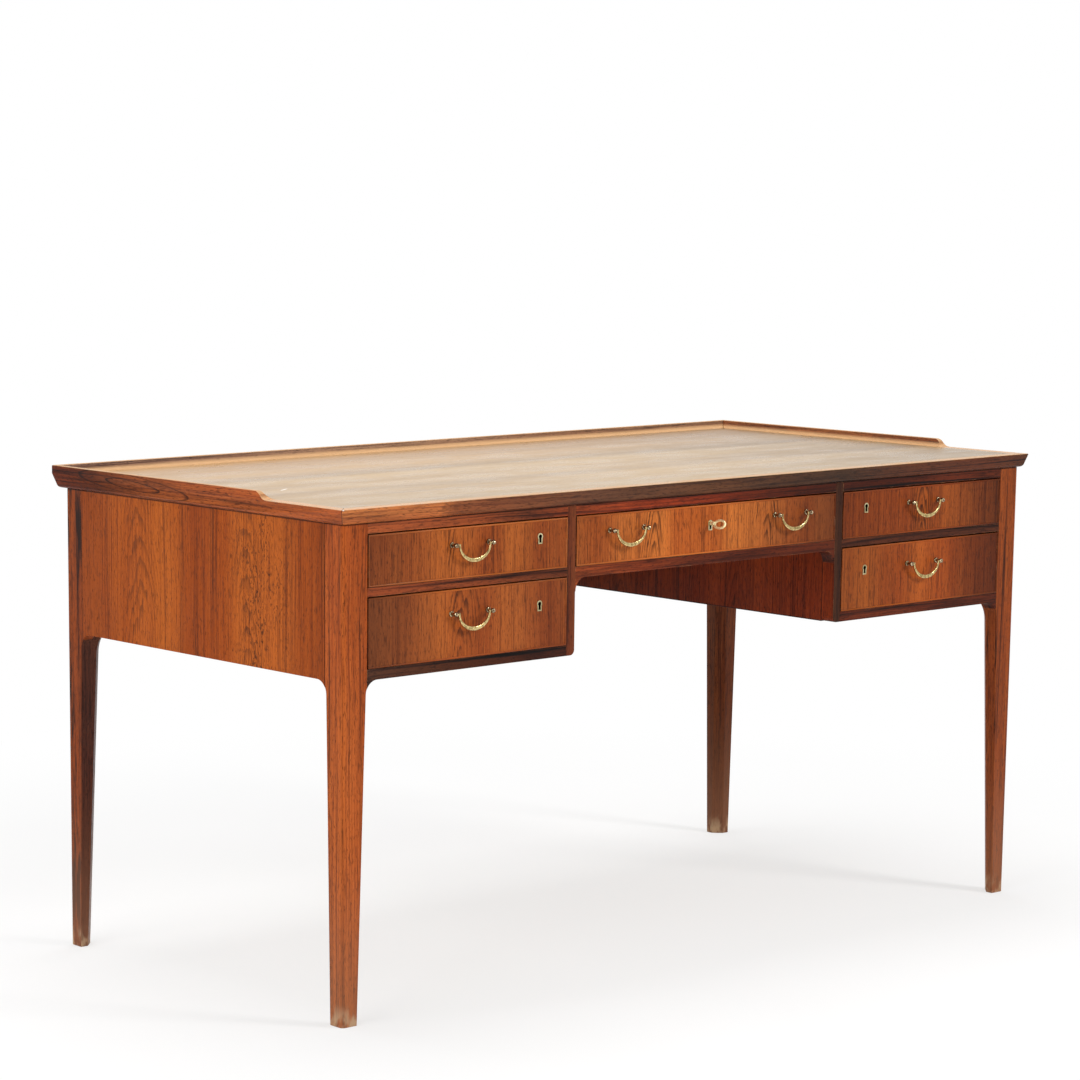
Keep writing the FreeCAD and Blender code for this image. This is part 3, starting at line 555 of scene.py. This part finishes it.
# Brass: scratches to a cloud, where its patches of tarnish begin and are full without and with tarnish, and
# how the painted shade in its recesses and the scratches show
SCRATCHES_TO_CLOUD = 7
TARNISH_BEGINS, TARNISH_FULL = (0.62, 0.4), (0.78, 0.3)
RECESS_REACH = 6 * MM
RECESS_NOISE = (0.75, 0.25)
POLISH_NOISE, POLISH_SPREAD = (0.3, 0.7), 0.14
SCRATCH_NOISE, SCRATCH_ROUGHNESS = (0.45, 0.7), 0.1
SCRATCH_DEPTH, SCRATCH_RELIEF = 0.04 * MM, 0.3


def brass(name, bright, dull, rough, tarnish, clouds=260.0, metallic=1.0, recess_shade=0.0, hollow=None):
    """Metal with a soft polish, tarnish in cloudy patches, fine scratches, and painted shade in its recesses.

    Clouds are counted to the metre, and a hollow is the arguments of keyhole_shade.
    """
    paint = Paint(name)
    place = paint.place()
    cloud = paint.noise(paint.scaled(place, clouds), 4, 0.6)
    scratch = paint.noise(paint.scaled(place, clouds * SCRATCHES_TO_CLOUD), 2, 0.6)
    begins, full = (most - spread * tarnish for most, spread in (TARNISH_BEGINS, TARNISH_FULL))
    paint.colour = paint.mix(paint.span(cloud, begins, full), bright, dull)
    # Painted shade: recesses darkened where ambient occlusion finds them
    if recess_shade:
        recess = paint.node("AmbientOcclusion", samples=6)
        recess.inputs["Distance"].default_value = RECESS_REACH
        paint.cover(paint.span(recess.outputs["AO"], *RECESS_NOISE, 0.0, recess_shade), PAINTED_SHADE)
    # Painted shade inside the keyhole
    if hollow is not None:
        paint.cover(keyhole_shade(paint, paint.split(place), *hollow), PAINTED_SHADE)
    roughness = paint.math("ADD", paint.span(cloud, *POLISH_NOISE, rough, rough + POLISH_SPREAD),
                           paint.span(scratch, *SCRATCH_NOISE, 0.0, SCRATCH_ROUGHNESS))
    return paint.surface(roughness, paint.bump(scratch, SCRATCH_DEPTH, SCRATCH_RELIEF), Metallic=metallic)


# How CAD meshes are joined up, and how sharp edges are eased
WELD_DISTANCE = 0.001 * MM
FLAT_ANGLE = math.radians(0.5)
SHARP_ANGLE = math.radians(32)
FLAT_WEIGHT = 90
VENEER_EASE = 0.2 * MM
FRONT_EASE = 0.3 * MM
BOARD_EASE = 0.4 * MM
SOLID_EASE = 0.5 * MM
LEG_EASE = 1.0 * MM
# How far a normal points along a direction on a face that counts as turned there
TURNED = 0.7


def piece_from(node, material):
    """A copy of a CAD node's mesh, welded and with its flat faces made whole, that stands for the node."""
    mesh = bpy.data.meshes.new(node + "_dressed")
    shape = bmesh.new()
    shape.from_mesh(frame["nodes"][node].data)
    bmesh.ops.remove_doubles(shape, verts=shape.verts, dist=WELD_DISTANCE)
    bmesh.ops.dissolve_limit(shape, angle_limit=FLAT_ANGLE, verts=shape.verts, edges=shape.edges)
    shape.normal_update()
    shape.to_mesh(mesh)
    shape.free()
    mesh.materials.clear()
    mesh.materials.append(material)
    for face in mesh.polygons:
        face.use_smooth = True
        face.material_index = 0
    piece = bpy.data.objects.new(node + "_dressed", mesh)
    bpy.context.collection.objects.link(piece)
    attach(piece, BODIES[node])
    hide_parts(node)
    return piece


def eased(node, material, width=SOLID_EASE, segments=2):
    """A CAD node shown with its sharp edges eased, as a joiner leaves them."""
    piece = piece_from(node, material)
    bevel = piece.modifiers.new("eased edges", "BEVEL")
    bevel.width = width
    bevel.segments = segments
    bevel.limit_method = "ANGLE"
    bevel.angle_limit = SHARP_ANGLE
    bevel.use_clamp_overlap = True
    flat = piece.modifiers.new("flat faces", "WEIGHTED_NORMAL")
    flat.mode = "FACE_AREA"
    flat.weight = FLAT_WEIGHT
    return piece


def add_finish(piece, material, turned_there):
    """Gives a second material to the faces whose normal passes a test."""
    piece.data.materials.append(material)
    for face in piece.data.polygons:
        face.material_index = int(turned_there(face.normal))


def dress(node, material):
    """A CAD node shown as it is, in a new finish."""
    for slot in frame["nodes"][node].material_slots:
        slot.material = material


def tint(node, axis, *stops):
    """A cast over the whole of a CAD node."""
    low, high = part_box(node)
    return axis, on_axis(low, axis), on_axis(high, axis), stops


def edges(node, axes, width):
    """Painted shade along both ends of a CAD node on each axis."""
    low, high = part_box(node)
    return tuple((axis, on_axis(low, axis), on_axis(high, axis), width) for axis in axes)


def top_joint_shade(node):
    """Painted shade along the top of a CAD node only."""
    below_floor = -1.0
    return (("Z", below_floor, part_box(node)[1].z, JOINT_SHADE_WIDTH),)


# Casts of the top: each stop is a share of the length along the axis, and a tint
TOP_LEAVES = ((0.0, (240, 242, 246)), (0.24, (255, 255, 255)), (0.30, (228, 226, 228)),
              (0.36, (252, 252, 255)), (0.55, (255, 255, 255)), (0.60, (230, 228, 230)),
              (0.66, (255, 250, 246)), (1.0, (255, 240, 226)))
TOP_LENGTH = ((0.0, (255, 255, 255)), (0.55, (250, 250, 247)), (1.0, (211, 209, 204)))
BAND_CASTS = {
    "top_edge_front": ("X", (0.0, (255, 250, 250)), (0.125, (250, 240, 240)), (0.145, (184, 172, 184)),
                       (0.33, (132, 138, 176)), (0.5, (126, 132, 154)), (0.7, (88, 98, 124)),
                       (0.82, (118, 104, 114)), (0.93, (126, 106, 112)), (1.0, (106, 102, 114))),
    "top_edge_back": ("X", (0.0, (194, 206, 244)), (1.0, (214, 229, 255))),
    "top_edge_left": ("Y", (0.0, (244, 218, 200)), (0.35, (226, 200, 184)), (0.6, (196, 170, 158)),
                      (0.85, (128, 98, 80)), (1.0, (134, 90, 68))),
    "top_edge_right": ("Y", (0.0, (178, 176, 194)), (1.0, (190, 193, 208))),
}
# The scratch on the top and the chips at the front left corner, each as the arguments of Grain.scuff
TOP_SCRATCH = (-0.602, -0.0593, 0.56, 18 * MM, 2.2 * MM)
CORNER_CHIPS = ((-0.7165, -0.3325, 0.75, 3.2 * MM, 1.5 * MM), (-0.7125, -0.3352, 0.1, 2.5 * MM, 1.2 * MM))
CHIPPED_BANDS = ("top_edge_front", "top_edge_left")
# The arguments of Grain.knot
LEFT_BAND_KNOT = (0.15, 0.722, 0.136, 0.0155)


def dress_top():
    """The veneered top in its leaves, and the bands round it."""
    veneer = rosewood("top_veneer", TOP_TONES, "X", "Y", seed=4.0, streaks=0.45, lines=0.4, pores=0.3,
                      casts=(tint("top_panel", "Y", *TOP_LEAVES), tint("top_panel", "X", *TOP_LENGTH)),
                      scuffs=(TOP_SCRATCH,), rough=0.30, relief=0.08, specular=0.7)
    eased("top_panel", veneer, VENEER_EASE)
    mitre = (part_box("top_edge_right")[1].x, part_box("top_edge_front")[0].y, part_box("top_edge_back")[1].y)
    for number, (node, (axis, *stops)) in enumerate(BAND_CASTS.items()):
        wood = rosewood(node + "_wood", LIP_TONES if node == "top_edge_back" else BAND_TONES, axis, "Z",
                        seed=11.0 + 8.3 * number, streaks=1.0, lines=0.8, fine=2.6, blotch=0.25,
                        knot=LEFT_BAND_KNOT if node == "top_edge_left" else None,
                        casts=(tint(node, axis, *stops),), upward_sheen=0.75, edge_rub_and_highlight=0.8,
                        scuffs=CORNER_CHIPS if node in CHIPPED_BANDS else (), mitre=mitre, rough=0.3)
        eased(node, wood, SOLID_EASE)


# The tint of each leg above its foot, and how much lighter the foot's tint is
LEG_SHADES = {"leg_front_left": (255, 252, 250), "leg_front_right": (212, 212, 216),
              "leg_back_left": (246, 246, 250), "leg_back_right": (144, 152, 180)}
FOOT_LIFT = (6, 20, 70)
FOOT_SHARE, FOOT_FADE_SHARE = 0.03, 0.12
LEG_WOOD = {"tones": LEG_TONES, "streaks": 0.8, "fine": 1.6, "blotch": 0.15}
DARK_LEG_WOOD = {"tones": DARK_LEG_TONES, "streaks": 1.25, "fine": 0.9, "blotch": 0.85}
# Painted shade for the back left leg's chamfer faces, which turn in under the desk
CHAMFER_SHADE_CAST = ((0.0, (150, 170, 220)), (1.0, (130, 150, 210)))


def dress_legs():
    """The four legs. The back left one is dark, with painted shade on its chamfer."""
    for number, (node, shade) in enumerate(LEG_SHADES.items()):
        foot = tuple(min(255, value + lift) for value, lift in zip(shade, FOOT_LIFT))
        dark = node == "leg_back_left"
        cast = tint(node, "Z", (0.0, foot), (FOOT_SHARE, foot), (FOOT_FADE_SHARE, shade), (1.0, shade))
        wood = rosewood(node + "_wood", along="Z", across="X", seed=3.0 + 7.3 * number, lines=0.8,
                        casts=(cast,), feet=0.8, edge_rub_and_highlight=0.8, joint_shades=top_joint_shade(node), rough=0.36,
                        **(DARK_LEG_WOOD if dark else LEG_WOOD))
        leg = eased(node, wood, LEG_EASE, 3)
        if dark:
            # Painted shade on the chamfer faces
            shaded_chamfer = rosewood("chamfer_shade_wood", RAIL_TONES, "Z", "X", seed=61.0, streaks=0.6,
                               casts=(tint(node, "Z", *CHAMFER_SHADE_CAST),), feet=0.7, rough=0.3)
            add_finish(leg, shaded_chamfer, lambda normal: normal.x - normal.y > TURNED)


# Casts of the boards
OUTER_CAST = ((0.0, (240, 236, 246)), (0.2, (255, 252, 255)), (0.40, (255, 252, 250)),
              (0.52, (240, 230, 226)), (0.64, (255, 254, 250)), (0.80, (252, 246, 244)),
              (1.0, (204, 186, 184)))
# Painted shade of the kneehole on the pedestals' inner sides, deeper towards the back; the stiles' sides take
# it too
KNEEHOLE_SHADE = (190, 152, 140)
KNEEHOLE_SHADE_CAST = ((0.0, KNEEHOLE_SHADE), (0.5, (156, 124, 122)), (1.0, (132, 110, 114)))
# For each board: the axis across its grain, its seed, its tones and its cast
BOARDS = {
    "side_panel_left": ("Y", 2.0, PANEL_TONES, OUTER_CAST),
    "side_panel_right": ("Y", 5.5, PANEL_TONES, OUTER_CAST),
    "back_panel": ("X", 9.0, PANEL_TONES, OUTER_CAST),
    "pedestal_side_left": ("Y", 6.0, FRONT_TONES, KNEEHOLE_SHADE_CAST),
    "pedestal_side_right": ("Y", 8.0, FRONT_TONES, KNEEHOLE_SHADE_CAST),
}
# The arguments of Grain.rings and Grain.fleck
BOARD_RINGS = (0.13, (-0.06, 0.16), 5.5 * MM, 0.06, 0.02)
SIDE_FLECK = (-0.26, -0.02)


def dress_boards():
    """Side panels, back panel and the inner sides of the pedestals, these last with painted shade."""
    for node, (axis, seed, tones, cast) in BOARDS.items():
        wood = rosewood(node + "_wood", tones, "Z", axis, seed=seed, streaks=0.5, lines=0.9, fine=1.5,
                        rings=BOARD_RINGS, flame=0.4, casts=(tint(node, axis, *cast),),
                        fleck=SIDE_FLECK if node.startswith("side_panel") else None,
                        joint_shades=edges(node, "Z", JOINT_SHADE_WIDTH) + edges(node, axis, PANEL_JOINT_SHADE_WIDTH))
        eased(node, wood, BOARD_EASE)


RAIL_CASTS = {
    "front_top_rails": ((0.0, (255, 255, 255)), (0.08, (250, 250, 250)), (0.15, (216, 208, 208)),
                        (0.22, (150, 150, 172)), (0.32, (228, 198, 194)), (0.41, (255, 202, 186)),
                        (0.60, (160, 140, 140)), (0.80, (112, 104, 116)), (0.92, (158, 144, 148)),
                        (1.0, (150, 138, 140))),
    "front_middle_rails": ((0.0, (214, 200, 210)), (0.14, (190, 178, 186)), (0.26, (142, 136, 150)),
                           (0.79, (122, 124, 146)), (0.91, (116, 122, 146)), (1.0, (118, 120, 138))),
    "front_bottom_rails": ((0.0, (136, 172, 220)), (0.05, (126, 146, 180)), (0.14, (116, 122, 136)),
                           (0.25, (122, 126, 140)), (0.75, (166, 150, 150)), (1.0, (138, 124, 128))),
    "front_centre_rail": ((0.0, (255, 244, 224)), (0.25, (206, 184, 176)), (0.45, (156, 142, 146)),
                          (1.0, (140, 122, 128))),
}
# The seed and the tint of each stile
STILES = {"front_stile_left": (40.0, (178, 180, 186)), "front_stile_right": (45.0, (98, 110, 130))}


def dress_front_frame():
    """The rails round the drawers, and the stiles, whose sides take the pedestals' painted shade."""
    for number, (node, stops) in enumerate(RAIL_CASTS.items()):
        wood = rosewood(node + "_wood", RAIL_TONES, "X", "Z", seed=14.0 + 3.1 * number, streaks=1.3,
                        fine=2.2, blotch=0.35, casts=(tint(node, "X", *stops),), edge_rub_and_highlight=0.6,
                        joint_shades=top_joint_shade(node) if node == "front_top_rails" else ())
        eased(node, wood, SOLID_EASE)
    for node, (seed, shade) in STILES.items():
        front_wood = rosewood(node + "_wood", RAIL_TONES, "Z", "X", seed=seed, streaks=0.8,
                              casts=(tint(node, "X", (0.0, shade), (1.0, shade)),), edge_rub_and_highlight=0.6)
        # The stiles' sides take the painted shade of the kneehole
        side_wood = rosewood(node + "_side_wood", FRONT_TONES, "Z", "Y", seed=seed, streaks=0.7,
                             casts=(tint(node, "Y", (0.0, KNEEHOLE_SHADE), (1.0, KNEEHOLE_SHADE)),))
        add_finish(eased(node, front_wood, SOLID_EASE), side_wood, lambda normal: abs(normal.x) > TURNED)


def dress_runners():
    """Runners, packers and battens, in plain wood."""
    wood = rosewood("runner_wood", RUNNER_TONES, "Y", "Z", streaks=0.3, lines=0.3, pores=0.2, rough=0.6)
    for node in ("drawer_runners", "runner_packers", "fixing_battens"):
        eased(node, wood, BOARD_EASE, 1)


# For each drawer: where its rings centre across the desk, the joint between its leaves, and its cast
FRONT_FIGURES = {
    "upper_left": (-0.4957, None, ((0.0, (178, 180, 224)), (0.15, (198, 200, 236)), (0.38, (236, 236, 255)),
                                   (0.8, (230, 234, 255)), (1.0, (214, 216, 244)))),
    "lower_left": (-0.4917, None, ((0.0, (148, 150, 200)), (0.15, (178, 180, 226)), (0.42, (238, 236, 255)),
                                   (0.8, (214, 214, 248)), (1.0, (190, 186, 222)))),
    "centre": (0.117, 0.0, ((0.0, (204, 206, 222)), (0.12, (220, 222, 236)), (0.35, (250, 254, 255)),
                            (0.55, (246, 252, 255)), (0.75, (204, 204, 220)), (1.0, (134, 128, 150)))),
    "upper_right": (0.4747, None, ((0.0, (182, 176, 188)), (0.25, (198, 190, 200)), (0.6, (212, 202, 210)),
                                   (0.8, (174, 168, 186)), (1.0, (130, 126, 152)))),
    "lower_right": (0.4717, None, ((0.0, (188, 184, 196)), (0.3, (212, 206, 214)), (0.6, (232, 218, 220)),
                                   (0.8, (172, 166, 182)), (1.0, (128, 122, 148)))),
}
# The pith of a front's wood: its depth at the front's lower edge, and its climb along the grain
PITH_DEPTH = 6 * MM
PITH_CLIMB = 0.16
FRONT_RING_SPACING = 4.5 * MM
FRONT_RING_REACH = 45 * MM


def dress_drawers():
    """Fronts, beads, boxes and fittings of the five drawers."""
    inside_wood = rosewood("drawer_side_wood", INSIDE_TONES, "Y", "Z", seed=3.3, streaks=0.3, lines=0.3,
                           pores=0.25, rough=0.55)
    # The posts' dark tarnish is partly real tarnish, partly painted dark reflection
    post_brass = brass("post_brass", (228, 210, 172), (112, 92, 70), 0.14, 0.75, clouds=420.0, recess_shade=0.8)
    steel = brass("bolt_steel", (170, 168, 162), (120, 116, 110), 0.3, 0.3)
    for number, (name, (heart, mirror, stops)) in enumerate(FRONT_FIGURES.items()):
        front = name + "_drawer_front"
        beads = name + "_drawer_beads"
        seed = 51.0 + 9.7 * number
        pith = (PITH_DEPTH - PITH_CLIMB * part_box(front)[0].z, PITH_CLIMB)
        cast = tint(front, "X", *stops)
        tones = CENTRE_TONES if name == "centre" else FRONT_TONES
        front_wood = rosewood(name + "_front_wood", tones, "Z", "X", seed=seed, streaks=0.55, lines=0.8,
                              fine=1.4, rings=(heart, pith, FRONT_RING_SPACING, FRONT_RING_REACH, mirror),
                              flame=0.75, casts=(cast,), joint_shades=edges(front, "XZ", FRONT_JOINT_SHADE_WIDTH),
                              hollow=keyhole_of(name))
        eased(front, front_wood, FRONT_EASE)
        bead_wood = rosewood(name + "_bead_wood", tones, "X", "Z", seed=seed + 3.0, streaks=0.2, lines=0.3,
                             pores=0.1, casts=(cast,), edge_rub_and_highlight=0.5, joint_shades=edges(beads, "XZ", BEAD_JOINT_SHADE_WIDTH),
                             rough=0.3)
        eased(beads, bead_wood, BOARD_EASE)
        eased(name + "_drawer_box", inside_wood, BOARD_EASE, 1)
        lock_brass = brass(name + "_lock_brass", (222, 212, 170), (172, 160, 120), 0.34, 0.6, clouds=70.0,
                           recess_shade=0.5, hollow=keyhole_of(name))
        dress(name + "_drawer_lock", lock_brass)
        dress(name + "_lock_bolt", steel)
        dress(name + "_drawer_posts", post_brass)


# The key's bow stands this far before the drawer's front, and looks this much heavier than its solid
BOW_STANDOFF = 6 * MM
BOW_SWELL = 0.25 * MM


def dress_brass():
    """Bails and the key."""
    bail_brass = brass("bail_brass", (226, 202, 142), (152, 130, 84), 0.16, 0.5, recess_shade=0.7)
    for node in frame["nodes"]:
        if node.endswith("_bail"):
            dress(node, bail_brass)
    key = piece_from("key", brass("key_brass", (255, 240, 188), (222, 202, 146), 0.22, 0.35, metallic=0.5))
    bow_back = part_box("centre_drawer_front")[0].y - BOW_STANDOFF
    front_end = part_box("key")[0].y
    vertices = key.data.vertices
    swell = [vertex.normal * BOW_SWELL if vertex.co.y < bow_back else Vector() for vertex in vertices]
    for vertex, step in zip(vertices, swell):
        vertex.co += step
        vertex.co.y = max(vertex.co.y, front_end)
    key.modifiers.new("flat faces", "WEIGHTED_NORMAL").weight = FLAT_WEIGHT


# Small fasteners behind the drawer fronts
NUT_RADIUS = 4.0 * MM
NUT_THICKNESS = 2.0 * MM
NUT_CHAMFER = 0.35 * MM
NUT_SIDES = 6
NUT_TURN = 0.2
WASHER_RADIUS = 5.2 * MM
WASHER_THICKNESS = 0.5 * MM
WASHER_CHAMFER = 0.15 * MM
WASHER_SIDES = 28
SCREW_RADIUS = 2.3 * MM
SCREW_HEIGHT = 0.5 * MM
SCREW_RIM = 0.3 * SCREW_HEIGHT
SCREW_CHAMFER = 0.15 * MM
SCREW_RIM_CHAMFER = 0.05 * MM
SCREW_SIDES = 24
SCREW_TURN = 0.4
SCREW_SLOT = 0.35 * MM
HALF_ROUND_SHARE = 0.96
HALF_ROUND_POINTS = 14
SCREW_INSET = (4.0 * MM, 6.0 * MM)
POST_SPACING = 69.0 * MM


def slab(shape, outline, near, far, chamfer):
    """Adds a plate with an outline in X and Z, from one Y to another, with its far edges chamfered."""
    near_ring, far_ring = ([shape.verts.new((x, y, z)) for x, z in outline] for y in (near, far))
    shape.faces.new(near_ring)
    far_face = shape.faces.new(far_ring[::-1])
    count = len(outline)
    for here in range(count):
        after = (here + 1) % count
        shape.faces.new((near_ring[after], near_ring[here], far_ring[here], far_ring[after]))
    bmesh.ops.bevel(shape, geom=list(far_face.edges), offset=chamfer, segments=2, profile=0.6,
                    affect="EDGES")


def round_outline(x, z, radius, count, start=0.0, end=math.tau):
    """Points on an arc, closed where it is a full turn."""
    steps = count if end - start >= math.tau else count - 1
    return [(x + radius * math.cos(start + (end - start) * i / steps),
             z + radius * math.sin(start + (end - start) * i / steps)) for i in range(count)]


def nut(shape, x, face, z):
    """A hexagon nut on its washer."""
    top = face + WASHER_THICKNESS
    slab(shape, round_outline(x, z, WASHER_RADIUS, WASHER_SIDES), face, top, WASHER_CHAMFER)
    slab(shape, round_outline(x, z, NUT_RADIUS, NUT_SIDES, NUT_TURN, NUT_TURN + math.tau), top,
         top + NUT_THICKNESS, NUT_CHAMFER)


def screw_head(shape, x, face, z):
    """A slotted head: a low disc with a half round on each side of the slot."""
    rim = face + SCREW_RIM
    slab(shape, round_outline(x, z, SCREW_RADIUS, SCREW_SIDES), face, rim, SCREW_RIM_CHAMFER)
    lean = math.asin(SCREW_SLOT / SCREW_RADIUS)
    for turn in (SCREW_TURN, SCREW_TURN + math.pi):
        half = round_outline(x, z, HALF_ROUND_SHARE * SCREW_RADIUS, HALF_ROUND_POINTS, turn + lean,
                             turn + math.pi - lean)
        slab(shape, half, rim, face + SCREW_HEIGHT, SCREW_CHAMFER)


def fasteners(name, material, shape, body):
    """Makes one piece of the fasteners drawn into a shape."""
    mesh = bpy.data.meshes.new(name)
    bmesh.ops.recalc_face_normals(shape, faces=shape.faces)
    shape.to_mesh(mesh)
    shape.free()
    mesh.materials.append(material)
    piece = bpy.data.objects.new(name, mesh)
    bpy.context.collection.objects.link(piece)
    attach(piece, body)


def add_fasteners():
    """Nuts on the tails of the handle posts and screws in the back plates of the locks."""
    nut_brass = brass("nut_brass", (190, 170, 118), (120, 102, 70), 0.3, 0.6)
    screw_brass = brass("screw_brass", (196, 182, 134), (130, 116, 82), 0.3, 0.5)
    handles = [joint for joint in RECORD["behaviour"]["joints"] if joint["child"].endswith("_bail")]
    for name in FRONT_FIGURES:
        body = name + "_drawer"
        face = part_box(body + "_front")[1].y
        nuts = bmesh.new()
        for joint in handles:
            if joint["parent"] == body:
                x, _, z = joint["pos_m"]
                for way in (-1, 1):
                    nut(nuts, x + way * POST_SPACING / 2, face, z)
        fasteners(name + "_handle_nuts", nut_brass, nuts, body)
        low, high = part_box(body + "_lock")
        screws = bmesh.new()
        for x in (low.x + SCREW_INSET[0], high.x - SCREW_INSET[0]):
            for z in (low.z + SCREW_INSET[1], high.z - SCREW_INSET[1]):
                screw_head(screws, x, high.y, z)
        fasteners(name + "_lock_screws", screw_brass, screws, body)


# The photograph's camera, solved from the desk's own edges: its focal length and optical axis in pixels,
# its angles in degrees, and where it sees the middle of the carcass on the floor, to the right, up and ahead
IMAGE_PIXELS = 1080
FOCAL_PIXELS = 3351.8
CENTRE_PIXELS = (355.9, 746.4)
CAMERA_AZIMUTH = -39.667
CAMERA_ELEVATION = 9.982
CAMERA_ROLL = 0.169
CAMERA_OFFSET = (0.31653, -0.27195, 5.35661)
CARCASS_DEPTH = 0.657


def add_camera():
    """The camera at the photograph's place."""
    azimuth = math.radians(CAMERA_AZIMUTH)
    elevation = math.radians(CAMERA_ELEVATION)
    roll = math.radians(CAMERA_ROLL)
    forward = Vector((-math.sin(azimuth) * math.cos(elevation), math.cos(azimuth) * math.cos(elevation),
                      -math.sin(elevation)))
    level = Vector((math.cos(azimuth), math.sin(azimuth), 0))
    upright = level.cross(forward)
    right = level * math.cos(roll) + upright * math.sin(roll)
    up = upright * math.cos(roll) - level * math.sin(roll)
    place = -(right * CAMERA_OFFSET[0] + up * CAMERA_OFFSET[1] + forward * CAMERA_OFFSET[2])
    place.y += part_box("leg_front_left")[0].y + CARCASS_DEPTH / 2
    data = bpy.data.cameras.new("camera")
    data.sensor_width = 36.0
    data.lens = FOCAL_PIXELS * data.sensor_width / IMAGE_PIXELS
    data.shift_x = (IMAGE_PIXELS / 2 - CENTRE_PIXELS[0]) / IMAGE_PIXELS
    data.shift_y = (CENTRE_PIXELS[1] - IMAGE_PIXELS / 2) / IMAGE_PIXELS
    data.clip_end = 50.0
    camera = bpy.data.objects.new("camera", data)
    bpy.context.collection.objects.link(camera)
    turn = Matrix((right, up, -forward)).transposed()
    camera.matrix_world = Matrix.Translation(place) @ turn.to_4x4()
    bpy.context.scene.camera = camera


# The studio: the floor's size, where it fades to white for the camera and from what share, and its paint
FLOOR_RADIUS = 3.4
FLOOR_SIDES = 96
FLOOR_FADE = (0.7, 1.9)
FLOOR_WHITE = 0.6
FLOOR_TONES = ((240, 240, 239), (246, 246, 246))
FLOOR_ROUGHNESS = 0.9
WHITE_LIGHT = (1.0, 1.0, 1.0, 1.0)
# The world's strength: all round, and in reflections of its two sides, with the turn from one to the other
WORLD_STRENGTH = 0.5
FRONT_REFLECTION, BACK_REFLECTION = 0.7, 1.0
REFLECTION_TURN = (-0.25, 0.35)
# For each light: its place, what it aims at, its size and its power in watts
LIGHTS = {
    "left_light": ((-3.8, -0.6, 2.2), (0, 0, 0.5), (2.6, 2.0), 58),
    "right_light": ((2.0, -3.8, 2.9), (0, 0, 0.5), (1.1, 1.0), 104),
    "top_light": ((0.0, 0.6, 3.6), (0, 0.2, 0.7), (2.4, 1.6), 55),
}


def add_floor():
    """A round pale floor that fades into the white surround for the camera and keeps the desk's shadow."""
    mesh = bpy.data.meshes.new("floor")
    shape = bmesh.new()
    bmesh.ops.create_circle(shape, cap_ends=True, segments=FLOOR_SIDES, radius=FLOOR_RADIUS)
    shape.to_mesh(mesh)
    shape.free()
    floor = bpy.data.objects.new("floor", mesh)
    bpy.context.collection.objects.link(floor)
    paint = Paint("floor_paint")
    place = paint.place()
    paint.colour = paint.mix(paint.span(paint.noise(place, 2, 0.5), 0.3, 0.7), *FLOOR_TONES)
    paint.surface(FLOOR_ROUGHNESS)
    distance = paint.node("VectorMath", operation="LENGTH")
    paint.put(distance.inputs[0], place)
    fade = paint.span(distance.outputs["Value"], *FLOOR_FADE, FLOOR_WHITE, 1.0)
    white = paint.node("Emission")
    white.inputs["Color"].default_value = WHITE_LIGHT
    white.inputs["Strength"].default_value = 1.0
    shown = paint.node("MixShader")
    paint.put(shown.inputs[0], paint.product(fade, paint.node("LightPath").outputs["Is Camera Ray"]))
    paint.put(shown.inputs[1], paint.output.inputs["Surface"].links[0].from_socket)
    paint.put(shown.inputs[2], white.outputs[0])
    paint.put(paint.output.inputs["Surface"], shown.outputs[0])
    mesh.materials.append(paint.material)


def add_light(name, place, target, size, power):
    """A soft rectangular light."""
    data = bpy.data.lights.new(name, "AREA")
    data.shape = "RECTANGLE"
    data.size, data.size_y = size
    data.energy = power
    light = bpy.data.objects.new(name, data)
    bpy.context.collection.objects.link(light)
    light.location = place
    aim = Vector(target) - Vector(place)
    light.rotation_euler = aim.to_track_quat("-Z", "Y").to_euler()


def add_world():
    """White for the camera, soft light all round, and in reflections a darker side before the drawers."""
    world = bpy.data.worlds.new("world")
    bpy.context.scene.world = world
    world.use_nodes = True
    tree = world.node_tree
    tree.nodes.clear()

    def background(strength):
        made = tree.nodes.new("ShaderNodeBackground")
        made.inputs["Color"].default_value = WHITE_LIGHT
        made.inputs["Strength"].default_value = strength
        return made

    def mix(factor, a, b):
        made = tree.nodes.new("ShaderNodeMixShader")
        for socket, value in zip(made.inputs, (factor, a.outputs[0], b.outputs[0])):
            tree.links.new(value, socket)
        return made

    rays = tree.nodes.new("ShaderNodeLightPath").outputs
    direction = tree.nodes.new("ShaderNodeTexCoord").outputs["Generated"]
    axes = tree.nodes.new("ShaderNodeSeparateXYZ")
    tree.links.new(direction, axes.inputs[0])
    behind = tree.nodes.new("ShaderNodeMapRange")
    behind.interpolation_type = "SMOOTHSTEP"
    tree.links.new(axes.outputs["Y"], behind.inputs["Value"])
    behind.inputs["From Min"].default_value, behind.inputs["From Max"].default_value = REFLECTION_TURN
    white = background(1.0)
    reflected = mix(behind.outputs[0], background(FRONT_REFLECTION), background(BACK_REFLECTION))
    unseen = mix(rays["Is Glossy Ray"], background(WORLD_STRENGTH), reflected)
    shown = mix(rays["Is Camera Ray"], unseen, white)
    output = tree.nodes.new("ShaderNodeOutputWorld")
    tree.links.new(shown.outputs[0], output.inputs["Surface"])


def main():
    bpy.context.scene.view_settings.view_transform = "Standard"
    add_camera()
    add_world()
    add_floor()
    for name, (place, target, size, power) in LIGHTS.items():
        add_light(name, place, target, size, power)
    dress_top()
    dress_legs()
    dress_boards()
    dress_front_frame()
    dress_runners()
    dress_drawers()
    dress_brass()
    add_fasteners()


main()
